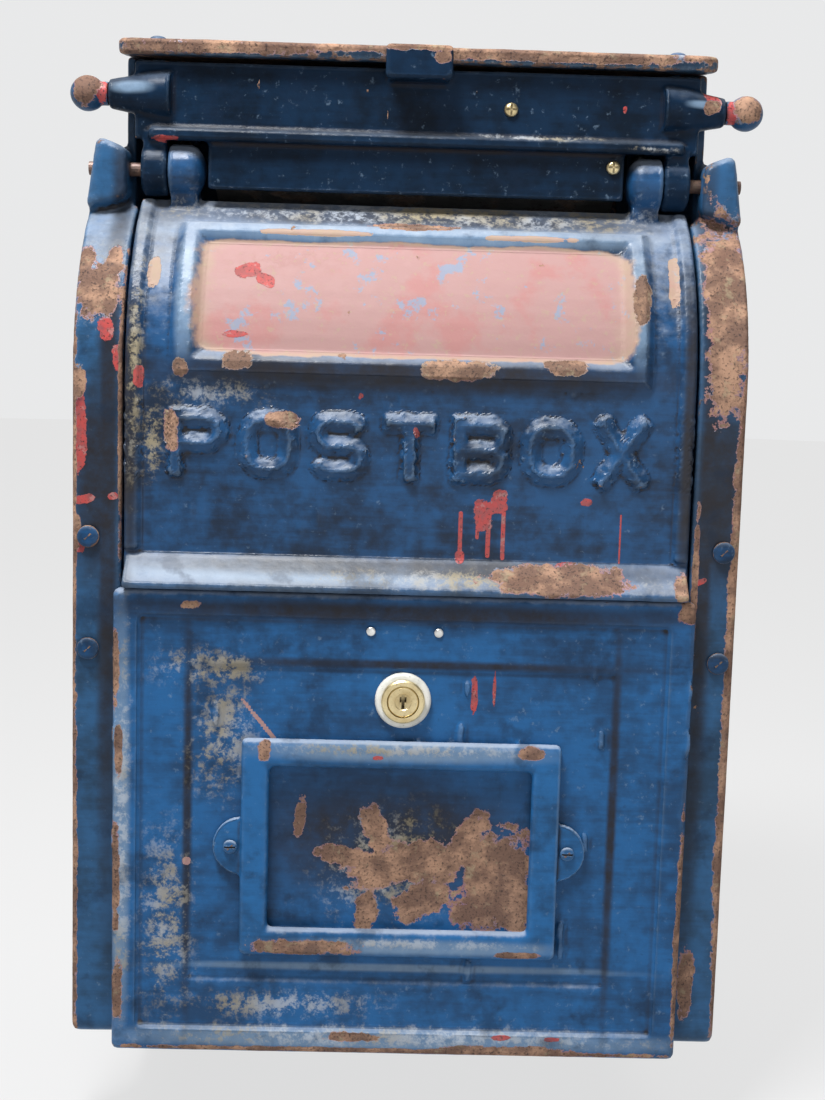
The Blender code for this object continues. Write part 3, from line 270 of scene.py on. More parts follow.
class Sock:
    """A node's output that understands Python's operators."""

    def __init__(self, paint, socket):
        self.paint = paint
        self.socket = socket

    def math(self, operation, *values):
        return self.paint.node("Math", {"operation": operation}, dict(enumerate(values)))

    def __add__(self, other):
        return self.math("ADD", self, other)

    def __mul__(self, other):
        return self.math("MULTIPLY", self, other)

    def __sub__(self, other):
        return self.math("SUBTRACT", self, other)

    def __rsub__(self, other):
        return self.math("SUBTRACT", other, self)

    __radd__ = __add__
    __rmul__ = __mul__

    def most(self, other):
        return self.math("MAXIMUM", self, other)

    def least(self, other):
        return self.math("MINIMUM", self, other)

    def rise(self, low, high):
        """0 below low, 1 above high and a smooth step between."""
        inputs = {"Value": self, "From Min": low, "From Max": high}
        return self.paint.node("MapRange", {"interpolation_type": "SMOOTHSTEP"}, inputs)


class Paint:
    """A material while it is mixed."""

    def __init__(self, name):
        self.material = bpy.data.materials.new(name)
        self.material.use_nodes = True
        self.tree = self.material.node_tree
        self.surface = self.tree.nodes["Principled BSDF"]
        self.place = self.node("TexCoord", output="Object")
        facing = self.node("TexCoord", output="Normal")
        self.up = self.node("SeparateXYZ", inputs={0: facing}, output="Z")
        self.pointy = self.node("NewGeometry", output="Pointiness")

    def node(self, kind, settings=None, inputs=None, output=0):
        made = self.tree.nodes.new("ShaderNode" + kind)
        for key, value in (settings or {}).items():
            setattr(made, key, value)
        for key, value in (inputs or {}).items():
            self.feed(made.inputs[key], value)
        return Sock(self, made.outputs[output])

    def feed(self, socket, value):
        if isinstance(value, Sock):
            self.tree.links.new(value.socket, socket)
        elif isinstance(value, tuple) and socket.type == "RGBA":
            socket.default_value = (*value, 1)
        else:
            socket.default_value = value

    def noise(self, scale, detail=3, roughness=0.55, stretch=(1, 1, 1), shift=0.0):
        place = self.node("Mapping", inputs={"Vector": self.place, "Scale": stretch,
                                             "Location": (shift, shift, shift)})
        inputs = {"Vector": place, "Scale": scale, "Detail": detail, "Roughness": roughness}
        return self.node("TexNoise", inputs=inputs)

    def mix(self, factor, under, over):
        settings = {"data_type": "RGBA"}
        return self.node("Mix", settings, {0: factor, 6: under, 7: over}, output=2)

    def field(self, name):
        return self.node("Attribute", {"attribute_name": name}, output="Fac")

    def done(self, colour, roughness, height, metallic=0.0, **fixed):
        """Feeds the surface; height is in metres."""
        self.feed(self.surface.inputs["Base Color"], colour)
        self.feed(self.surface.inputs["Roughness"], roughness)
        self.feed(self.surface.inputs["Metallic"], metallic)
        for name, value in fixed.items():
            self.feed(self.surface.inputs[name.replace("_", " ")], value)
        bump = self.node("Bump", inputs={"Height": height, "Distance": 1.0, "Strength": 1.0})
        self.feed(self.surface.inputs["Normal"], bump)
        return self.material


# %% [markdown]
# ## Blue enamel with its whole history
#
# From the iron outwards the box carries rust, pink primer, a red coat and many blues. The
# shader stacks them in that order. Cloudy noise mixes two blues, fine horizontal noise
# gives brush marks, dust settles where the surface looks up, and edges are rubbed through
# to brown iron where Pointiness says the mesh is sharp. Pointiness also paints a pale
# highlight, partly dust and wear, on rounded edges and painted shade, partly grime, in
# creases, and a marked field paints shade under ledges and between parts. The worn fields
# then open windows into the lower coats, each with a rim of red or pink where one coat
# peels before the next.

# %% The enamel
NAVY = (0.005, 0.015, 0.036)
ROYAL = (0.010, 0.062, 0.165)
DUST = (0.36, 0.40, 0.46)
TAN = (0.32, 0.27, 0.17)
PINK = (0.34, 0.20, 0.19)
RED = (0.40, 0.060, 0.055)
CRIMSON = (0.24, 0.070, 0.070)
RUST = (0.145, 0.085, 0.060)
ORANGE = (0.36, 0.215, 0.140)
SHADE_AND_SOOT = (0.016, 0.014, 0.016)
FADED_AND_HIGHLIGHT = (0.17, 0.25, 0.35)


def iron_colour(paint, grit):
    """Brown rust with orange blooms and dark pits."""
    bloom = paint.noise(65, 4, 0.65, shift=3.1)
    colour = paint.mix(bloom.rise(0.42, 0.66), RUST, ORANGE)
    colour = paint.mix(grit.rise(0.52, 0.68) * 0.75, colour, SHADE_AND_SOOT)
    return paint.mix(paint.noise(130, 5, 0.7, shift=7.7).rise(0.56, 0.68) * 0.5, colour, TAN)


def enamel(name, deep=NAVY, bright=ROYAL, dust=0.6, edges=0.5, chips=0.5, gloss=0.2, streaks=()):
    """The layered enamel; edges and chips say how much of it is gone, streaks are red runs."""
    paint = Paint(name)
    ragged = paint.noise(95, 7, 0.68)
    coarse = paint.noise(21, 4, 0.55, shift=1.3)
    brush = paint.noise(30, 4, 0.65, stretch=(1, 1, 9))
    peel = paint.noise(130, 3, 0.55, shift=5.2)
    speckle = paint.noise(230, 5, 0.7, shift=8.8)
    grit = paint.noise(720, 3, 0.6, shift=2.2)
    wander = (ragged - 0.5) * 2.3 + (coarse - 0.5) * 0.8 + (speckle - 0.5) * 0.8

    def opened(field, amount):
        """A field with a torn outline, still 0 where there is no spot."""
        depth = paint.field(field)
        return depth + wander * (depth.rise(0.02, 0.30) * amount)

    bend = paint.pointy - 0.5
    bend = bend.math("ABSOLUTE", bend).rise(0.010, 0.035)
    blue = paint.mix((coarse * 0.55 + peel * 0.25 + brush * 0.2).rise(0.38, 0.60), deep, bright)
    blue = paint.mix(speckle.rise(0.60, 0.72) * 0.35, blue, FADED_AND_HIGHLIGHT)
    blue = paint.mix(speckle.rise(0.26, 0.40) * -0.5 + 0.5, blue, deep)
    blue = paint.mix(paint.field("faded").rise(0.1, 1.0) * (0.35 + ragged * 0.8), blue, FADED_AND_HIGHLIGHT)
    # Painted highlight, partly dust and wear: rounded edges (high Pointiness) are mixed towards a pale
    # blue.
    pale = (paint.pointy + (ragged - 0.5) * 0.03).rise(0.508, 0.540)
    blue = paint.mix(pale * (speckle * 0.9 * dust), blue, FADED_AND_HIGHLIGHT)
    # Painted shade: creases and inner corners (low Pointiness), partly grime, and the marked shade
    # field are mixed towards near-black.
    crease_shade_and_grime = (1 - paint.pointy.rise(0.455, 0.494)) * (0.55 + ragged)
    shade_mask = paint.field("painted_shade").rise(0.0, 1.1) * (0.35 + ragged)
    blue = paint.mix(crease_shade_and_grime.most(shade_mask).least(0.95), blue, SHADE_AND_SOOT)

    lies = (paint.up + (ragged - 0.5) * 0.7 + (speckle - 0.5) * 0.5).rise(0.22, 0.85)
    dusty = lies * dust * (0.50 + coarse * 0.9)
    # No dust shows where shade is painted.
    dusty = dusty.least(0.85) * (1 - shade_mask.least(0.8))
    tan_field = paint.field("tan")
    flecks = speckle * 0.8 + ragged * 0.6 + grit * 0.3 + tan_field * 0.14
    tan = tan_field.rise(0.0, 1.3) * flecks.rise(0.92, 1.10) * 0.75
    colour = paint.mix(dusty, blue, DUST)
    colour = paint.mix(tan, colour, paint.mix(coarse.rise(0.4, 0.6), TAN, DUST))

    red = opened("red", 0.75).rise(0.47, 0.53)
    slow = paint.noise(14, 4, 0.7, shift=6.1)
    sign = paint.field("sign") + (ragged - 0.5) * 0.10 + (slow - 0.5) * 0.25
    pink = opened("pink", 0.60).rise(0.48, 0.52).most(sign.rise(0.46, 0.50))
    for x, z, half, radius in streaks:
        red = red.most(paint_run(paint, x, z, half, radius))
    blush = paint.mix(paint.noise(30, 5, 0.6, shift=9.0).rise(0.50, 0.62) * 0.22, PINK, RED)
    blush = paint.mix(paint.noise(58, 6, 0.72, shift=4.0).rise(0.58, 0.63) * 0.75, blush, FADED_AND_HIGHLIGHT)
    blush = paint.mix(speckle.rise(0.56, 0.66) * 0.4, blush, TAN)
    stained = sign.rise(0.10, 0.30) * (1 - sign.rise(0.50, 0.58)) * (ragged * 0.9)
    blush = paint.mix(stained, blush, TAN)
    colour = paint.mix(pink, colour, blush)
    reds = paint.mix(speckle.rise(0.44, 0.60) * 0.8, RED, CRIMSON)
    reds = paint.mix(paint.noise(160, 4, 0.7, shift=5.9).rise(0.56, 0.62) * 0.6, reds, PINK)
    colour = paint.mix(red * 0.94, colour, paint.mix(grit.rise(0.56, 0.66) * 0.8, reds, SHADE_AND_SOOT))

    rubbed = paint.pointy + (ragged - 0.5) * 0.20 + (coarse - 0.5) * 0.10
    sharp = rubbed.rise(0.585 - 0.05 * edges, 0.605 - 0.05 * edges)
    smut = paint.noise(44, 5, 0.6, shift=3.9).rise(0.54, 0.68) * 0.5
    colour = paint.mix(smut * (1 - pink), colour, NAVY)
    flaked = paint.noise(52, 6, 0.66, shift=6.4) + (coarse - 0.5) * 0.35
    flake = flaked.rise(0.745 - 0.06 * chips, 0.755 - 0.06 * chips)
    rust_depth = opened("rust", 0.85).most(flake * 0.8)
    rim = rust_depth.rise(0.43, 0.47)
    bare = rust_depth.rise(0.52, 0.55)
    worn = bare.most(sharp)
    colour = paint.mix(rim * 0.75, colour, blush)
    colour = paint.mix(worn * 0.95, colour, iron_colour(paint, grit))

    roughness = 0.24 + brush * 0.14 + speckle * 0.10
    roughness = roughness + dusty * 0.4 + tan * 0.35 + worn * 0.45 + pink * 0.25
    height = peel * (0.22 * MM) + brush * (0.06 * MM) + ragged * (0.10 * MM)
    height = height + bend * (peel * (0.55 * MM) + speckle * (0.30 * MM))
    height = height - bare * (0.38 * MM) - rim * (0.14 * MM) - pink * (0.12 * MM) + red * (0.10 * MM)
    height = height + worn * (grit * (0.24 * MM) + speckle * (0.35 * MM)) + tan * grit * (0.14 * MM)
    return paint.done(colour, roughness, height, Specular_IOR_Level=gloss)


def paint_run(paint, x, z, half, radius):
    """A mask for a thin upright run: 1 within its radius of a short line."""
    right = paint.node("SeparateXYZ", inputs={0: paint.place}, output="X") - x
    rise = paint.node("SeparateXYZ", inputs={0: paint.place}, output="Z") - z
    beyond = rise.math("ABSOLUTE", rise) - half
    beyond = beyond.most(0.0)
    away = (right * right + beyond * beyond).math("SQRT", right * right + beyond * beyond)
    return 1 - (away * (1 / radius)).rise(0.75, 1.0)


# %% [markdown]
# ## The front panel
#
# The panel carries the most history: a sign recess that has faded to pink primer, a raised
# word, dust on the shoulder, and red runs below the word. Its relief is all in the casting,
# so it is skinned from the CAD node. The word's rims are crusted, because old paint flakes
# first where it bends sharply round a letter.

# %% Skin the front panel
WORD_FOOT = 3 * MM
WORD_TOP = 38 * MM
FRONT = side_low.y


def near_word(place, normal):
    """How much of a letter's sloping rim lies at a point."""
    if not WORD_FOOT - 2 * MM < place.z < WORD_TOP + 2 * MM or normal.y > 0:
        return 0
    return min(1.0, 3.0 * (1 + normal.y))


panel_drips = drips(16, (-0.13, 0.13), FRONT, (-0.03, 0.05), 1.4 * MM, 4 * MM)
panel_drips += drips(14, (-0.115, 0.115), FRONT - 1 * MM, (0.050, 0.054), 2 * MM, 3 * MM)
panel = skin("front_panel", 1.3 * MM, panel_drips, soften=2, dimpling=0.14 * MM)
crust(panel, 1.0 * MM, 3.0 * MM, near_word)
mark(panel, "sign", [(0.0, 0.0930, 0.108, 0.0285, 0)], squareness=14)
mark(panel, "pink", [
    (-0.130, 0.104, 0.0030, 0.008, 0),
    (0.131, 0.106, 0.0030, 0.012, 0),
    (-0.050, 0.1262, 0.030, 0.0016, 0),
    (0.060, 0.1262, 0.024, 0.0016, 0),
])
# Painted shade: bands under the sign frame, at the shoulder and near the foot of the panel, and strips
# beside the side rims.
mark(panel, "painted_shade", [
    (0.0, 0.056, 0.125, 0.0075, 0),
    (0.0, 0.1360, 0.130, 0.0050, 0),
    (0.0, -0.040, 0.140, 0.0040, 0),
    (-0.139, 0.03, 0.0035, 0.080, 0),
    (0.139, 0.03, 0.0035, 0.080, 0),
])
mark(panel, "red", [
    (-0.083, 0.106, 0.006, 0.0035, 20),
    (-0.074, 0.101, 0.005, 0.0030, -25),
    (-0.088, 0.074, 0.007, 0.0018, 0),
    (-0.135, 0.052, 0.0025, 0.006, 0),
    (0.089, -0.005, 0.0030, 0.002, 0),
    (0.038, -0.013, 0.0050, 0.008, 0),
    (0.046, -0.006, 0.0040, 0.007, 0),
    (0.080, -0.038, 0.0060, 0.0025, 0),
    (-0.025, 0.045, 0.0012, 0.0020, 0),
    (0.003, 0.028, 0.0014, 0.0030, 20),
])
mark(panel, "rust", [
    (-0.086, 0.061, 0.0075, 0.0045, 0),
    (0.024, 0.059, 0.0170, 0.0045, 0),
    (0.077, 0.062, 0.0110, 0.0035, 0),
    (0.114, 0.098, 0.0045, 0.013, 0),
    (-0.114, 0.057, 0.0035, 0.004, 0),
    (-0.119, 0.026, 0.0040, 0.010, 0),
    (-0.063, 0.032, 0.0075, 0.004, 0),
    (0.075, -0.044, 0.034, 0.0070, 0),
    (0.000, 0.1310, 0.020, 0.002, 0),
    (0.138, -0.046, 0.004, 0.006, 0),
])
mark(panel, "tan", [
    (0.002, 0.140, 0.150, 0.011, 0),
    (-0.062, 0.112, 0.026, 0.006, 0),
    (-0.100, 0.045, 0.030, 0.007, 0),
    (-0.137, 0.060, 0.004, 0.060, 0),
    (0.045, -0.045, 0.100, 0.005, 0),
    (-0.128, 0.020, 0.006, 0.020, 0),
])
mark(panel, "faded", [
    (0.001, 0.126, 0.122, 0.005, 0),
    (-0.113, 0.095, 0.005, 0.030, 0),
    (0.113, 0.095, 0.004, 0.030, 0),
    (-0.060, -0.043, 0.090, 0.005, 0),
])
RUNS = (
    (0.0265, -0.022, 0.010, 1.2 * MM),
    (0.0265, -0.034, 0.001, 2.6 * MM),
    (0.0350, -0.018, 0.006, 1.0 * MM),
    (0.0405, -0.022, 0.011, 1.3 * MM),
    (0.0480, -0.020, 0.014, 1.2 * MM),
    (0.1070, -0.023, 0.012, 0.5 * MM),
)
panel_paint = enamel("panel_enamel", dust=0.5, edges=0.35, chips=0.25, gloss=0.3, streaks=RUNS)
panel.data.materials.append(panel_paint)
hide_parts("front_panel")
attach(panel, "root")

# %% [markdown]
# ## The side castings
#
# Their broad rims frame the whole front. The outer corners are the ones that a shoulder or
# a bicycle rubs, so both rims are brown along the outside, and a big bare patch covers the
# right shoulder.

# %% Skin the two sides


def make_side(node, side):
    """One side casting with its own rust, paint splashes and dust; side is -1 or 1."""
    rim = sorted((side * 0.146, side * 0.166))
    piece = skin(node, 1.6 * MM, drips(26, rim, FRONT, (-0.27, 0.05), 1.6 * MM, 5 * MM))
    outer = side * 0.1675
    rust = [(outer, -0.03, 0.0018, 0.12, 0), (outer, -0.20, 0.0025, 0.10, 0)]
    red, tan, pink = [], [], []
    if side > 0:
        rust += [(0.158, 0.090, 0.0118, 0.050, 0), (0.167, -0.09, 0.004, 0.15, 0)]
        rust += [(0.1515, -0.255, 0.0040, 0.017, 0), (0.146, -0.05, 0.0015, 0.05, 0)]
        pink += [(0.154, 0.121, 0.0070, 0.006, 0)]
        red += [(0.1665, 0.04, 0.0018, 0.020, 0), (0.148, -0.044, 0.004, 0.0015, 25)]
        tan += [(0.158, 0.105, 0.010, 0.020, 0)]
    else:
        rust += [(-0.1565, 0.094, 0.0105, 0.014, 0), (-0.150, 0.108, 0.0040, 0.008, 0)]
        rust += [(-0.164, 0.108, 0.0040, 0.007, 0), (-0.165, 0.049, 0.0040, 0.009, 0)]
        rust += [(-0.166, -0.025, 0.0026, 0.008, 0), (-0.144, 0.04, 0.0012, 0.07, 0)]
        red += [(-0.152, 0.075, 0.0040, 0.006, 15), (-0.145, 0.060, 0.0035, 0.007, 10)]
        red += [(-0.164, 0.026, 0.0034, 0.022, 0), (-0.162, -0.010, 0.0060, 0.002, 12)]
        red += [(-0.164, -0.030, 0.0030, 0.006, 0), (-0.147, -0.008, 0.0025, 0.0018, 0)]
        tan += [(-0.157, 0.096, 0.0120, 0.020, 0)]
    mark(piece, "rust", rust)
    mark(piece, "red", red)
    mark(piece, "pink", pink)
    mark(piece, "tan", tan)
    # Painted shade: a strip along the rim's inner edge and a wider patch on the rim.
    mark(piece, "painted_shade", [(side * 0.150, 0.0, 0.005, 0.20, 0), (side * 0.156, 0.0, 0.012, 0.05, 0)])
    piece.data.materials.append(side_paint)
    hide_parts(node)
    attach(piece, "root")


side_paint = enamel("side_enamel", deep=(0.014, 0.042, 0.085), bright=(0.022, 0.088, 0.200),
                    dust=0.4, edges=0.7, chips=0.45)
make_side("side_left", -1)
make_side("side_right", 1)

# %% [markdown]
# ## The collection door
#
# A flat casting with a raised bead round it and a sunk field. Yellow dust and lichen sit
# on the left, the bottom bead is pale with rust under it, and behind the card frame the
# paint has come away from the iron in one jagged sheet. A single oval can't be jagged, so
# that spot is several leaning ones that overlap.

# %% Skin the door
bead_z = door_low.z + 7 * MM
door_drips = drips(30, (-0.135, 0.135), door_low.y + 2.2 * MM, (-0.27, -0.07), 1.3 * MM, 4 * MM)
bead_span = (bead_z - 4 * MM, bead_z + 3 * MM)
door_drips += drips(34, (-0.14, 0.14), door_low.y, bead_span, 2.2 * MM, 1.6 * MM)
door_drips += drips(20, (-0.145, -0.137), door_low.y, (-0.28, -0.07), 1.6 * MM, 5 * MM)
door_drips += drips(20, (0.137, 0.145), door_low.y, (-0.28, -0.07), 1.6 * MM, 5 * MM)
door = skin("door", 1.3 * MM, door_drips, soften=2)
mark(door, "rust", [
    (0.050, -0.202, 0.020, 0.026, 0),
    (0.030, -0.186, 0.008, 0.022, -35),
    (0.004, -0.192, 0.030, 0.010, 14),
    (-0.024, -0.190, 0.018, 0.005, -10),
    (-0.012, -0.176, 0.006, 0.013, 20),
    (0.012, -0.212, 0.016, 0.008, 30),
    (-0.016, -0.219, 0.006, 0.010, -15),
    (0.060, -0.216, 0.009, 0.012, 0),
    (-0.051, -0.169, 0.0030, 0.0095, -6),
    (-0.1445, -0.092, 0.0022, 0.020, 0),
    (-0.1425, -0.135, 0.0020, 0.012, 0),
    (-0.1440, -0.200, 0.0022, 0.026, 0),
    (-0.1430, -0.262, 0.0030, 0.016, 0),
    (0.143, -0.057, 0.0060, 0.007, 0),
    (0.145, -0.225, 0.0024, 0.060, 0),
    (0.0, -0.2915, 0.150, 0.0014, 0),
    (-0.020, -0.284, 0.014, 0.0025, 0),
    (-0.107, -0.060, 0.005, 0.0022, 0),
    (0.060, -0.2905, 0.030, 0.0030, 0),
])
mark(door, "tan", [
    (-0.090, -0.128, 0.018, 0.032, 0),
    (-0.118, -0.225, 0.014, 0.050, 0),
    (-0.141, -0.180, 0.005, 0.110, 0),
    (-0.095, -0.092, 0.030, 0.010, 0),
    (0.0, -0.284, 0.140, 0.006, 0),
    (-0.060, -0.268, 0.050, 0.008, 0),
    (-0.005, -0.196, 0.035, 0.030, 20),
])
mark(door, "faded", [
    (0.0, -0.2855, 0.146, 0.0052, 0),
    (-0.1415, -0.175, 0.0045, 0.105, 0),
    (0.0, -0.248, 0.108, 0.0020, 0),
])
# Painted shade: dark lines along the inner edges of the sunk field, a band under the door's top, and
# the recess behind the card frame.
mark(door, "painted_shade", [
    (-0.108, -0.170, 0.0022, 0.100, 0),
    (0.108, -0.170, 0.0022, 0.100, 0),
    (0.0, -0.0885, 0.108, 0.0022, 0),
    (0.0, -0.062, 0.145, 0.0050, 0),
    (-0.006, -0.180, 0.066, 0.028, 0),
])
mark(door, "red", [(0.036, -0.104, 0.0016, 0.010, 0), (0.046, -0.100, 0.0010, 0.008, 0),
                   (0.055, -0.283, 0.0050, 0.0012, 0), (0.082, -0.2835, 0.0040, 0.0012, 0)])
mark(door, "pink", [(-0.068, -0.124, 0.0010, 0.024, 40), (-0.108, -0.193, 0.0022, 0.0022, 0)])
door_paint = enamel("door_enamel", deep=(0.010, 0.045, 0.115), bright=(0.014, 0.098, 0.262),
                    dust=0.5, edges=0.55, chips=0.2)
door.data.materials.append(door_paint)
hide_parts("door")
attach(door, "door")

# %% [markdown]
# ## The card frame
#
# A small casting screwed to the door with two ears. Its members are half round and its
# paint is the cleanest blue on the box, rusty along half of the bottom member.

# %% Skin the card frame
card_span = (-0.076, 0.076)
card_face = card_low.y + 0.6 * MM
upper = (card_high.z - 9 * MM, card_high.z - 5 * MM)
lower = (card_low.z + 5 * MM, card_low.z + 9 * MM)
frame_drips = drips(14, card_span, card_face, upper, 1.6 * MM, 3 * MM)
frame_drips += drips(12, card_span, card_face, lower, 2 * MM, 2 * MM)
card_frame = skin("card_frame", 0.8 * MM, frame_drips, soften=4,
                  swelling=0.3 * MM, dimpling=0.22 * MM)
mark(card_frame, "rust", [(-0.050, card_low.z + 5 * MM, 0.028, 0.0042, 0),
                          (0.062, card_low.z + 3 * MM, 0.010, 0.0016, 0),
                          (0.066, card_high.z - 4 * MM, 0.006, 0.003, 0),
                          (-0.069, card_high.z - 6 * MM, 0.003, 0.005, 0)])
mark(card_frame, "faded", [(0.0, card_high.z - 5 * MM, 0.070, 0.0050, 0),
                           (0.010, card_low.z + 6 * MM, 0.070, 0.0040, 0)])
mark(card_frame, "tan", [(0.0, card_high.z - 4 * MM, 0.075, 0.0035, 0),
                         (0.0, card_low.z + 8 * MM, 0.07, 0.003, 0)])
mark(card_frame, "red", [(-0.012, card_high.z - 8 * MM, 0.003, 0.0012, 0)])
frame_paint = enamel("card_frame_enamel", deep=(0.010, 0.055, 0.140), bright=(0.015, 0.110, 0.290),
                     dust=0.6, edges=0.4, chips=0.1)
card_frame.data.materials.append(frame_paint)
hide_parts("card_frame")
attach(card_frame, "door")

# %% [markdown]
# ## The flap
#
# The flap hangs in the roof's shadow, and its blue is nearly black: partly its own dark
# paint, partly painted shade from the roof. Its tapered bosses, hinge arms and lifting tab
# are one casting with the plate.

# %% Skin the flap
flap_drips = drips(12, (-0.12, 0.12), flap_low.y + 5 * MM, (0.185, 0.205), 1.2 * MM, 3 * MM)
flap = skin("flap", 1.1 * MM, flap_drips, swelling=0.3 * MM)
mark(flap, "red", [(0.150, 0.203, 0.0040, 0.0045, 0), (-0.150, 0.206, 0.0030, 0.0020, 10),
                   (0.106, 0.194, 0.0014, 0.0024, 0), (-0.128, 0.172, 0.006, 0.0015, 0)])
mark(flap, "rust", [(0.0, 0.2195, 0.018, 0.0022, 0), (0.150, 0.196, 0.004, 0.0035, 0),
                    (0.012, 0.214, 0.004, 0.003, 0)])
mark(flap, "tan", [(0.060, 0.178, 0.040, 0.0016, 0), (0.120, 0.174, 0.016, 0.0015, 0)])
mark(flap, "faded", [(-0.145, 0.197, 0.010, 0.003, 0), (0.145, 0.197, 0.008, 0.002, 0)])
mark(flap, "pink", [(0.152, 0.199, 0.0030, 0.0025, 0)])
# Painted shade, partly dark paint: the flap's blues are near black for the roof's shadow.
flap_paint = enamel("flap_enamel", deep=(0.002, 0.007, 0.016), bright=(0.004, 0.018, 0.045),
                    dust=0.10, edges=0.25, chips=0.1, gloss=0.10)
flap.data.materials.append(flap_paint)
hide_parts("flap")
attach(flap, "flap")

# %% [markdown]
# ## Roof, back and bottom plates
#
# The roof takes the rain: its top is dust and rust, and its front lip is chipped all along.
# The back and bottom plates see little light, so theirs is plain dull enamel with damp
# blooms of rust.

# %% Skin the plates


def make_plate(node, voxel, paint, rust=(), tan=(), **shape):
    """A plate of the case with its worn spots; shape holds settings for skin()."""
    piece = skin(node, voxel, **shape)
    mark(piece, "rust", rust, front_only=False)
    mark(piece, "tan", tan, front_only=False)
    piece.data.materials.append(paint)
    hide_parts(node)
    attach(piece, "root")


roof_paint = enamel("roof_enamel", deep=(0.008, 0.018, 0.035), bright=(0.012, 0.035, 0.070),
                    dust=0.9, edges=1.3, chips=0.9)
hidden_paint = enamel("hidden_enamel", deep=(0.012, 0.030, 0.060), bright=(0.018, 0.065, 0.140),
                      dust=0.5, edges=0.9, chips=0.9)
lip_rust = [(-0.10, roof_low.z + 4 * MM, 0.045, 0.0030, 0),
            (0.06, roof_low.z + 5 * MM, 0.080, 0.0030, 0),
            (0.0, roof_low.z + 7 * MM, 0.160, 0.0026, 0)]
roof_dust = [(0.0, roof_high.z, 0.16, 0.030, 0)]
damp_rust = [(-0.08, -0.20, 0.03, 0.05, 20), (0.10, 0.15, 0.02, 0.04, -15),
             (0.0, -0.28, 0.14, 0.010, 0)]
make_plate("roof_plate", 1.2 * MM, roof_paint, lip_rust, roof_dust,
           swelling=0.5 * MM, dimpling=0.3 * MM)
make_plate("back_plate", 2.2 * MM, hidden_paint, damp_rust,
           swelling=0.15 * MM, dimpling=0.05 * MM)
make_plate("bottom_plate", 2.0 * MM, hidden_paint, swelling=0.12 * MM, dimpling=0.05 * MM)

# %% [markdown]
# ## Turned pieces
#
# Knobs, screws and the lock are all round. A lathe-like way to build them is to start
# from a disc and extrude it step by step, scaling the new ring each time, until the profile
# is done. It gives clean rings of faces, and one helper serves every fastener.

# %% A turned piece


def turn(name, profile, foot, direction, sides=40):
    """A solid of revolution; profile holds (height, radius) pairs from the foot."""
    bpy.ops.object.select_all(action="DESELECT")
    bpy.ops.mesh.primitive_circle_add(vertices=sides, radius=profile[0][1], fill_type="NGON")
    piece = bpy.context.active_object
    piece.name = name
    bpy.ops.object.mode_set(mode="EDIT")
    bpy.ops.mesh.select_all(action="SELECT")
    bpy.ops.transform.translate(value=(0, 0, profile[0][0]))
    for (height, radius), (next_height, next_radius) in zip(profile, profile[1:]):
        rise = (0, 0, next_height - height)
        bpy.ops.mesh.extrude_region_move(TRANSFORM_OT_translate={"value": rise})
        share = next_radius / radius
        bpy.ops.transform.resize(value=(share, share, 1), center_override=(0, 0, next_height))
    bpy.ops.object.mode_set(mode="OBJECT")
    piece.rotation_euler = Vector(direction).to_track_quat("Z", "Y").to_euler()
    piece.location = foot
    bpy.ops.object.transform_apply(location=True, rotation=True, scale=True)
    clean(piece, 0.001 * MM)
    pick(piece)
    bpy.ops.object.shade_smooth_by_angle(angle=math.radians(35))
    return piece


def cut_with(piece, low, high):
    """Cuts a box-shaped slot between two corners."""
    low, high = Vector(low), Vector(high)
    bpy.ops.object.select_all(action="DESELECT")
    bpy.ops.mesh.primitive_cube_add(size=1, location=(low + high) / 2)
    cutter = bpy.context.active_object
    cutter.scale = high - low
    bpy.ops.object.transform_apply(location=True, rotation=True, scale=True)
    finish_with(piece, "BOOLEAN", object=cutter, operation="DIFFERENCE")
    bpy.data.objects.remove(cutter)


def fit(piece, paint, body, slot, *nodes):
    """Gives a finished piece its paint, its body and the CAD nodes it stands for."""
    piece.data.materials.clear()
    piece.data.materials.append(paint)
    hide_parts(*nodes)
    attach(piece, body)


# %% [markdown]
# ## Metals
#
# Five finishes without enamel: bare brown iron, plain steel that has gone dull, yellow
# brass, the pale washer round the lock and the bright alloy of the rivets. Each has its own
# noise at its own size, dark specks of grit, and is darker in its corners.

# %% Metal finishes


def metal(name, light, dark, roughness, metallic, grain=180, darkening=0.6, rust=0.2):
    """A bare metal; grain is the noise scale of its clouds and scratches."""
    paint = Paint(name)
    cloud = paint.noise(grain * 0.35, 4, 0.6)
    grit = paint.noise(grain * 4, 3, 0.6, shift=2.0)
    scratch = paint.noise(grain, 3, 0.6, stretch=(1, 1, 9), shift=4.0)
    colour = paint.mix(cloud.rise(0.35, 0.68), light, dark)
    # Darker in its corners (low Pointiness) and at specks of grit.
    corner = 1 - paint.pointy.rise(0.42, 0.50)
    colour = paint.mix((corner * darkening).most(grit.rise(0.60, 0.72) * darkening * 0.6), colour, SHADE_AND_SOOT)
    rusty = (cloud + grit * 0.3).rise(0.74 - 0.2 * rust, 0.84 - 0.2 * rust) * (rust * 2)
    rusty = rusty.least(1.0)
    colour = paint.mix(rusty, colour, iron_colour(paint, grit))
    height = grit * (0.05 * MM) + scratch * (0.03 * MM) + cloud * (0.05 * MM)
    shine = metallic - rusty * (0.8 * metallic)
    return paint.done(colour, roughness + rusty * 0.4 + scratch * 0.1, height, shine)


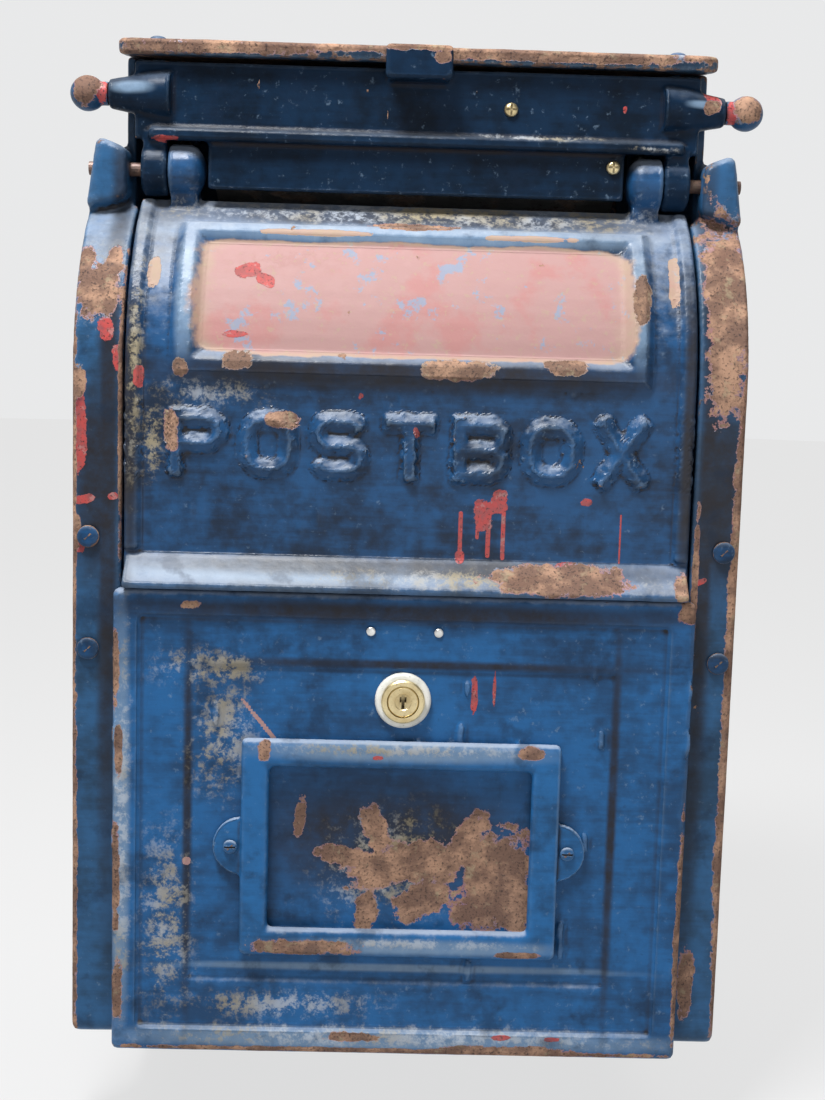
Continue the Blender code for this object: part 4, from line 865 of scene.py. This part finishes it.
knob_metal = metal("worn_iron", (0.17, 0.105, 0.085), (0.075, 0.045, 0.040), 0.42, 0.35, 90, 0.5, 0.25)
steel = metal("dull_steel", (0.42, 0.41, 0.39), (0.22, 0.21, 0.20), 0.38, 0.9, 150, 0.5, 0.35)
brass = metal("lock_brass", (0.74, 0.62, 0.36), (0.52, 0.40, 0.20), 0.28, 0.9, 260, 0.7, 0.0)
washer_white = metal("pale_washer", (0.74, 0.73, 0.68), (0.55, 0.55, 0.50), 0.38, 0.1, 200, 0.7, 0.05)
rivet_metal = metal("rivet_alloy", (0.80, 0.80, 0.78), (0.60, 0.60, 0.58), 0.30, 0.8, 300, 0.5, 0.0)
for finish in (knob_metal, steel, brass, washer_white, rivet_metal):
    print("finish", finish.name, "has", len(finish.node_tree.nodes), "nodes")

# %% [markdown]
# ## Pull knobs
#
# A ball on a short neck at each end of the flap. Its profile is an arc, so it is worked out
# with sine and cosine, and a fine remesh melts the neck into the ball and rounds the nicks.

# %% Turn the knobs
BOSS_TIP_X = 158.4 * MM


def make_knob(word, side):
    """A pull knob whose ball is worn bare."""
    node = "pull_knob_" + word
    low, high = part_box(node)
    radius = (high.z - low.z) / 2
    tip = max(abs(low.x), abs(high.x))
    neck = 0.66 * radius
    ball = tip - BOSS_TIP_X - radius
    lowest = math.pi - math.asin(neck / radius)
    profile = [(-6 * MM, 0.5 * neck), (0.0, 0.5 * neck), (0.0001, neck), (0.001, neck)]
    for step in range(17):
        angle = lowest + (0.06 - lowest) * step / 16
        profile.append((ball + radius * math.cos(angle), radius * math.sin(angle)))
    foot = (side * BOSS_TIP_X, (low.y + high.y) / 2, (low.z + high.z) / 2)
    knob = turn(node + "_ball", profile, foot, (side, 0, 0))
    finish_with(knob, "REMESH", mode="VOXEL", voxel_size=0.35 * MM)
    finish_with(knob, "SMOOTH", factor=0.5, iterations=6)
    finish_with(knob, "DISPLACE", texture=dimple, texture_coords="LOCAL",
                strength=0.35 * MM, mid_level=0.5)
    knob.data.shade_smooth()
    bare = (side * (BOSS_TIP_X + ball), foot[2] + 0.002, 0.80 * radius, 0.9 * radius, 0)
    mark(knob, "rust", [bare], front_only=False)
    mark(knob, "red", [(side * (BOSS_TIP_X + 0.003), foot[2], 0.003, 0.006, 0)], front_only=False)
    fit(knob, knob_paint, "flap", "worn_iron", node)
    print(knob.name, triangles(knob), "triangles")


knob_paint = enamel("knob_enamel", deep=(0.012, 0.040, 0.090), bright=(0.020, 0.075, 0.170),
                    dust=0.3, edges=0.9, chips=1.0)
make_knob("left", -1)
make_knob("right", 1)

# %% [markdown]
# ## Screws, bolts and rivets
#
# One recipe with different proportions: a domed pan head, a slot, and a shank. The blue
# bolts through the rims are so thick with paint that their slots have closed; the two brass
# screws in the flap are bright and keep a cross. A head's size and seat are read from its
# CAD node, and each call says which way it faces.

# %% Turn the fasteners


def screw_profile(head, height, shank, length):
    """The outline of a screw with a domed head, from the tip of its shank."""
    dome = [(-length, 0.8 * shank), (-length + shank, shank), (0.0, shank), (0.0001, head)]
    for step in range(1, 7):
        angle = math.radians(13 * step)
        dome.append((height * math.sin(angle), head * (0.35 + 0.65 * math.cos(angle))))
    return dome + [(height, 0.30 * head), (height, 0.02 * head)]


def make_screw(node, out, body, paint, slot="plain_steel", cuts=1, height_share=1.0):
    """A screw for a CAD node, its head facing along out."""
    low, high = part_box(node)
    out = Vector(out)
    axis = max(range(3), key=lambda index: abs(out[index]))
    across = [index for index in range(3) if index != axis]
    head = (high[across[0]] - low[across[0]]) / 2
    full = high[axis] - low[axis]
    height = 0.55 * head * height_share
    seat = (low + high) / 2
    seat[axis] = (high[axis] if out[axis] > 0 else low[axis]) - math.copysign(height, out[axis])
    profile = screw_profile(head, height, 0.48 * head, 0.8 * (full - height))
    piece = turn(node + "_turned", profile, seat, out, 28)
    for index in range(cuts):
        reach = Vector((0.14 * head,) * 3)
        reach[across[index]] = 0.75 * head
        reach[axis] = 0.5 * height
        centre = seat + out * height
        cut_with(piece, centre - reach, centre + reach)
    fit(piece, paint, body, slot, node)
    print(piece.name, "head radius", round(head / MM, 1), "mm")


bolt_paint = enamel("bolt_enamel", dust=0.2, edges=0.8, chips=1.4)
FRONTWARDS = (0, -1, 0)
UPWARDS = (0, 0, 1)
for word, side in (("left", -1), ("right", 1)):
    for index in (1, 2):
        end = f"{word}_{index}"
        make_screw("rim_bolt_" + end, FRONTWARDS, "root", bolt_paint, "blue_painted_iron", 0, 0.6)
        make_screw("roof_screw_" + end, UPWARDS, "root", bolt_paint, "blue_painted_iron")
        make_screw("bottom_screw_" + end, UPWARDS, "root", steel)
        make_screw("panel_screw_" + end, (side, 0, 0), "root", steel)
    for index in (1, 2, 3):
        make_screw(f"back_screw_{word}_{index}", FRONTWARDS, "root", steel)
    make_screw("card_screw_" + word, FRONTWARDS, "door", frame_paint, "plain_steel", 1, 0.8)
    make_screw("rivet_" + word, FRONTWARDS, "door", rivet_metal, "plain_steel", 0, 0.6)
for index in (1, 2):
    make_screw(f"flap_screw_{index}", FRONTWARDS, "flap", brass, "lock_brass", 2)

# %% [markdown]
# ## The lock
#
# A cam lock: a pale washer, a brass barrel whose flange holds it, and a plug with an
# upright keyway that turns in the barrel. The flange gets a fine chamfer, because brass
# shows where it sits mostly by the light along its edge.

# %% Turn the lock
BARREL = 9.8 * MM
KEYWAY = (0.8 * MM, 3.6 * MM)
KEYWAY_WARD = (1.7 * MM, 2.6 * MM)
lock_z = (lock_low.z + lock_high.z) / 2
ring_low, ring_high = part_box("lock_ring")
plug_low, plug_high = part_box("lock_plug")
ring_radius = (ring_high.x - ring_low.x) / 2
flange_radius = (lock_high.x - lock_low.x) / 2
plug_radius = (plug_high.x - plug_low.x) / 2


def bore(piece, radius, start, depth):
    """Drills a round hole straight back from a front face."""
    profile = [(0.0, radius), (depth, radius)]
    drill = turn("drill", profile, (0, start, lock_z), (0, 1, 0), 48)
    finish_with(piece, "BOOLEAN", object=drill, operation="DIFFERENCE")
    bpy.data.objects.remove(drill)


def crisp(piece):
    """Sharpens a brass piece's edges again after it has been cut."""
    pick(piece)
    bpy.ops.object.shade_smooth_by_angle(angle=math.radians(30))


thick = ring_high.y - ring_low.y
profile = [(0.0, ring_radius), (0.35 * thick, ring_radius), (0.7 * thick, 0.97 * ring_radius),
           (0.93 * thick, 0.90 * ring_radius), (thick, 0.80 * ring_radius)]
ring = turn("lock_washer", profile, (0, ring_high.y, lock_z), FRONTWARDS, 56)
bore(ring, BARREL + 0.3 * MM, ring_low.y - 1 * MM, 8 * MM)
fit(ring, washer_white, "door", "pale_ring", "lock_ring")

seat = lock_high.y - ring_low.y
length = lock_high.y - lock_low.y
profile = [(0.0, BARREL), (seat, BARREL), (seat + 0.2 * MM, flange_radius),
           (length - 0.6 * MM, flange_radius), (length, flange_radius - 0.7 * MM)]
barrel = turn("lock_barrel", profile, (0, lock_high.y, lock_z), FRONTWARDS, 56)
bore(barrel, plug_radius + 0.25 * MM, lock_low.y - 1 * MM, 24 * MM)
crisp(barrel)
fit(barrel, brass, "door", "lock_brass", "lock_body")

length = plug_high.y - plug_low.y
profile = [(0.0, 0.9 * plug_radius), (0.5 * MM, plug_radius), (length - 0.5 * MM, plug_radius),
           (length, plug_radius - 0.6 * MM), (length, 0.55 * plug_radius),
           (length - 0.3 * MM, 0.50 * plug_radius)]
plug = turn("lock_plug_face", profile, (0, plug_high.y, lock_z), FRONTWARDS, 56)
front, deep = plug_low.y - 1 * MM, plug_low.y + 7 * MM
half, rise = KEYWAY
cut_with(plug, (-half, front, lock_z - rise), (half, deep, lock_z + rise))
half, rise = KEYWAY_WARD
cut_with(plug, (-half, front, lock_z - 0.2 * MM), (half, deep, lock_z + rise))
crisp(plug)
fit(plug, brass, "lock", "lock_brass", "lock_plug")
print("lock: washer, barrel and plug,", [triangles(piece) for piece in (ring, barrel, plug)])

# %% [markdown]
# ## What stays as the frame has it
#
# Pins, the cam, the nut, the strip behind the rivets and the chute are plain machined or
# bent pieces. Their CAD shape is right, so they only get a finish. The counterweight is
# a casting and is skinned like the others.

# %% Finish the inner pieces
weight = skin("counterweight", 1.0 * MM, swelling=0.3 * MM)
fit(weight, hidden_paint, "flap", "blue_painted_iron", "counterweight")
for name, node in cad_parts.items():
    if node.hide_render:
        continue
    finish = knob_metal if name.startswith("flap_pin") else steel
    for material_slot in node.material_slots:
        material_slot.material = finish
    print(name, "keeps its shape,", finish.name)

# %% [markdown]
# ## Studio
#
# A pale floor, a pale sky and large soft lamps. Most light falls from above, so that ledges
# and the tops of the letters are bright and every underside goes navy. The box hangs on a
# wall when it is in use, so the floor lies a little below it and the door can fall open.

# %% Floor, sky and lamps
bpy.ops.object.select_all(action="DESELECT")
OPEN_DOOR_ROOM = 45 * MM
FLOOR = cad_box[0].z - OPEN_DOOR_ROOM
SKY_STRENGTH = 2.2
HORIZON = 0.81 / SKY_STRENGTH
FRONT_SHARE = 0.52
FLOOR_GLOW = 0.70
bpy.ops.mesh.primitive_circle_add(vertices=96, radius=9, fill_type="NGON", location=(0, 0, FLOOR))
floor = bpy.context.active_object
floor.name = "studio_floor"
floor_paint = bpy.data.materials.new("studio_floor")
floor_paint.use_nodes = True
floor_shader = floor_paint.node_tree.nodes["Principled BSDF"]
floor_shader.inputs["Base Color"].default_value = (0.12, 0.12, 0.121, 1)
floor_shader.inputs["Roughness"].default_value = 1.0
floor_shader.inputs["Specular IOR Level"].default_value = 0.0
floor_shader.inputs["Emission Color"].default_value = (1.0, 1.0, 1.0, 1)
floor_shader.inputs["Emission Strength"].default_value = FLOOR_GLOW
floor.data.materials.append(floor_paint)
floor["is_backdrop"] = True

world = bpy.data.worlds.new("pale_sky")
bpy.context.scene.world = world
world.use_nodes = True
sky = world.node_tree
direction = sky.nodes.new("ShaderNodeTexCoord")
split = sky.nodes.new("ShaderNodeSeparateXYZ")
ramp = sky.nodes.new("ShaderNodeValToRGB")
sky.links.new(direction.outputs["Generated"], split.inputs[0])
sky.links.new(split.outputs["Z"], ramp.inputs["Fac"])
behind = sky.nodes.new("ShaderNodeMapRange")
behind.inputs["From Min"].default_value = -0.35
behind.inputs["From Max"].default_value = 0.25
behind.inputs["To Min"].default_value = SKY_STRENGTH * FRONT_SHARE
behind.inputs["To Max"].default_value = SKY_STRENGTH
sky.links.new(split.outputs["Y"], behind.inputs["Value"])
sky.links.new(ramp.outputs["Color"], sky.nodes["Background"].inputs["Color"])
sky.links.new(behind.outputs["Result"], sky.nodes["Background"].inputs["Strength"])
SKY_STOPS = ((0.0, HORIZON), (0.25, HORIZON), (0.50, 0.06), (0.74, 0.06), (0.92, 0.9))
stops = ramp.color_ramp.elements
while len(stops) < len(SKY_STOPS):
    stops.new(0.5)
for stop, (height, grey) in zip(stops, SKY_STOPS):
    stop.position = height
    stop.color = (grey, 1.005 * grey, 1.012 * grey, 1)


def lamp(name, place, aim, size, power):
    light = bpy.data.lights.new(name, "AREA")
    light.size = size
    light.energy = power
    holder = bpy.data.objects.new(name, light)
    bpy.context.scene.collection.objects.link(holder)
    holder.location = place
    holder.rotation_euler = (Vector(aim) - Vector(place)).to_track_quat("-Z", "Y").to_euler()


lamp("overhead", (-0.30, -0.62, 1.15), (0, -0.20, -0.05), 0.35, 29)
lamp("front", (0.5, -1.9, 0.3), (0, 0, -0.1), 1.4, 4)
print("floor", round(-FLOOR / MM), "mm below the origin, two lamps")

# %% [markdown]
# ## Camera
#
# It stands a little under a metre away, just above the middle of the box and slightly to
# its left, looks down by seven degrees and is tipped by under two, as a hand-held one is.

# %% Place the camera
YAW, PITCH, ROLL = (math.radians(angle) for angle in (1.07, 6.97, -1.63))
CAMERA_PLACE = (-0.0112, -0.9483, 0.0604)
LENS_PER_HEIGHT = 15 / 11
heading = Vector((math.sin(YAW), math.cos(YAW), 0))
forward = heading * math.cos(PITCH) - Vector((0, 0, math.sin(PITCH)))
level_right = forward.cross(Vector((0, 0, 1))).normalized()
level_up = level_right.cross(forward)
right = level_right * math.cos(ROLL) - level_up * math.sin(ROLL)
upward = level_up * math.cos(ROLL) + level_right * math.sin(ROLL)
camera_data = bpy.data.cameras.new("camera")
camera_data.sensor_width = 36
camera_data.lens = LENS_PER_HEIGHT * camera_data.sensor_width
camera_data.clip_start = 0.01
camera = bpy.data.objects.new("camera", camera_data)
bpy.context.scene.collection.objects.link(camera)
turned = Matrix((right, upward, -forward)).transposed().to_4x4()
camera.matrix_world = Matrix.Translation(CAMERA_PLACE) @ turned
bpy.context.scene.camera = camera
bpy.context.scene.view_settings.view_transform = "Standard"
print("camera at", [round(value, 3) for value in camera.location])

# %% [markdown]
# ## Check the size
#
# The looks never change the object's size, so how far each corner of the box moves is printed.

# %% Print how far the box's corners move
visual_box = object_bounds()
for word, first, second in zip(("low", "high"), cad_box, visual_box):
    print(word, "corner moves by mm:", [round(1000 * (b - a), 2) for a, b in zip(first, second)])
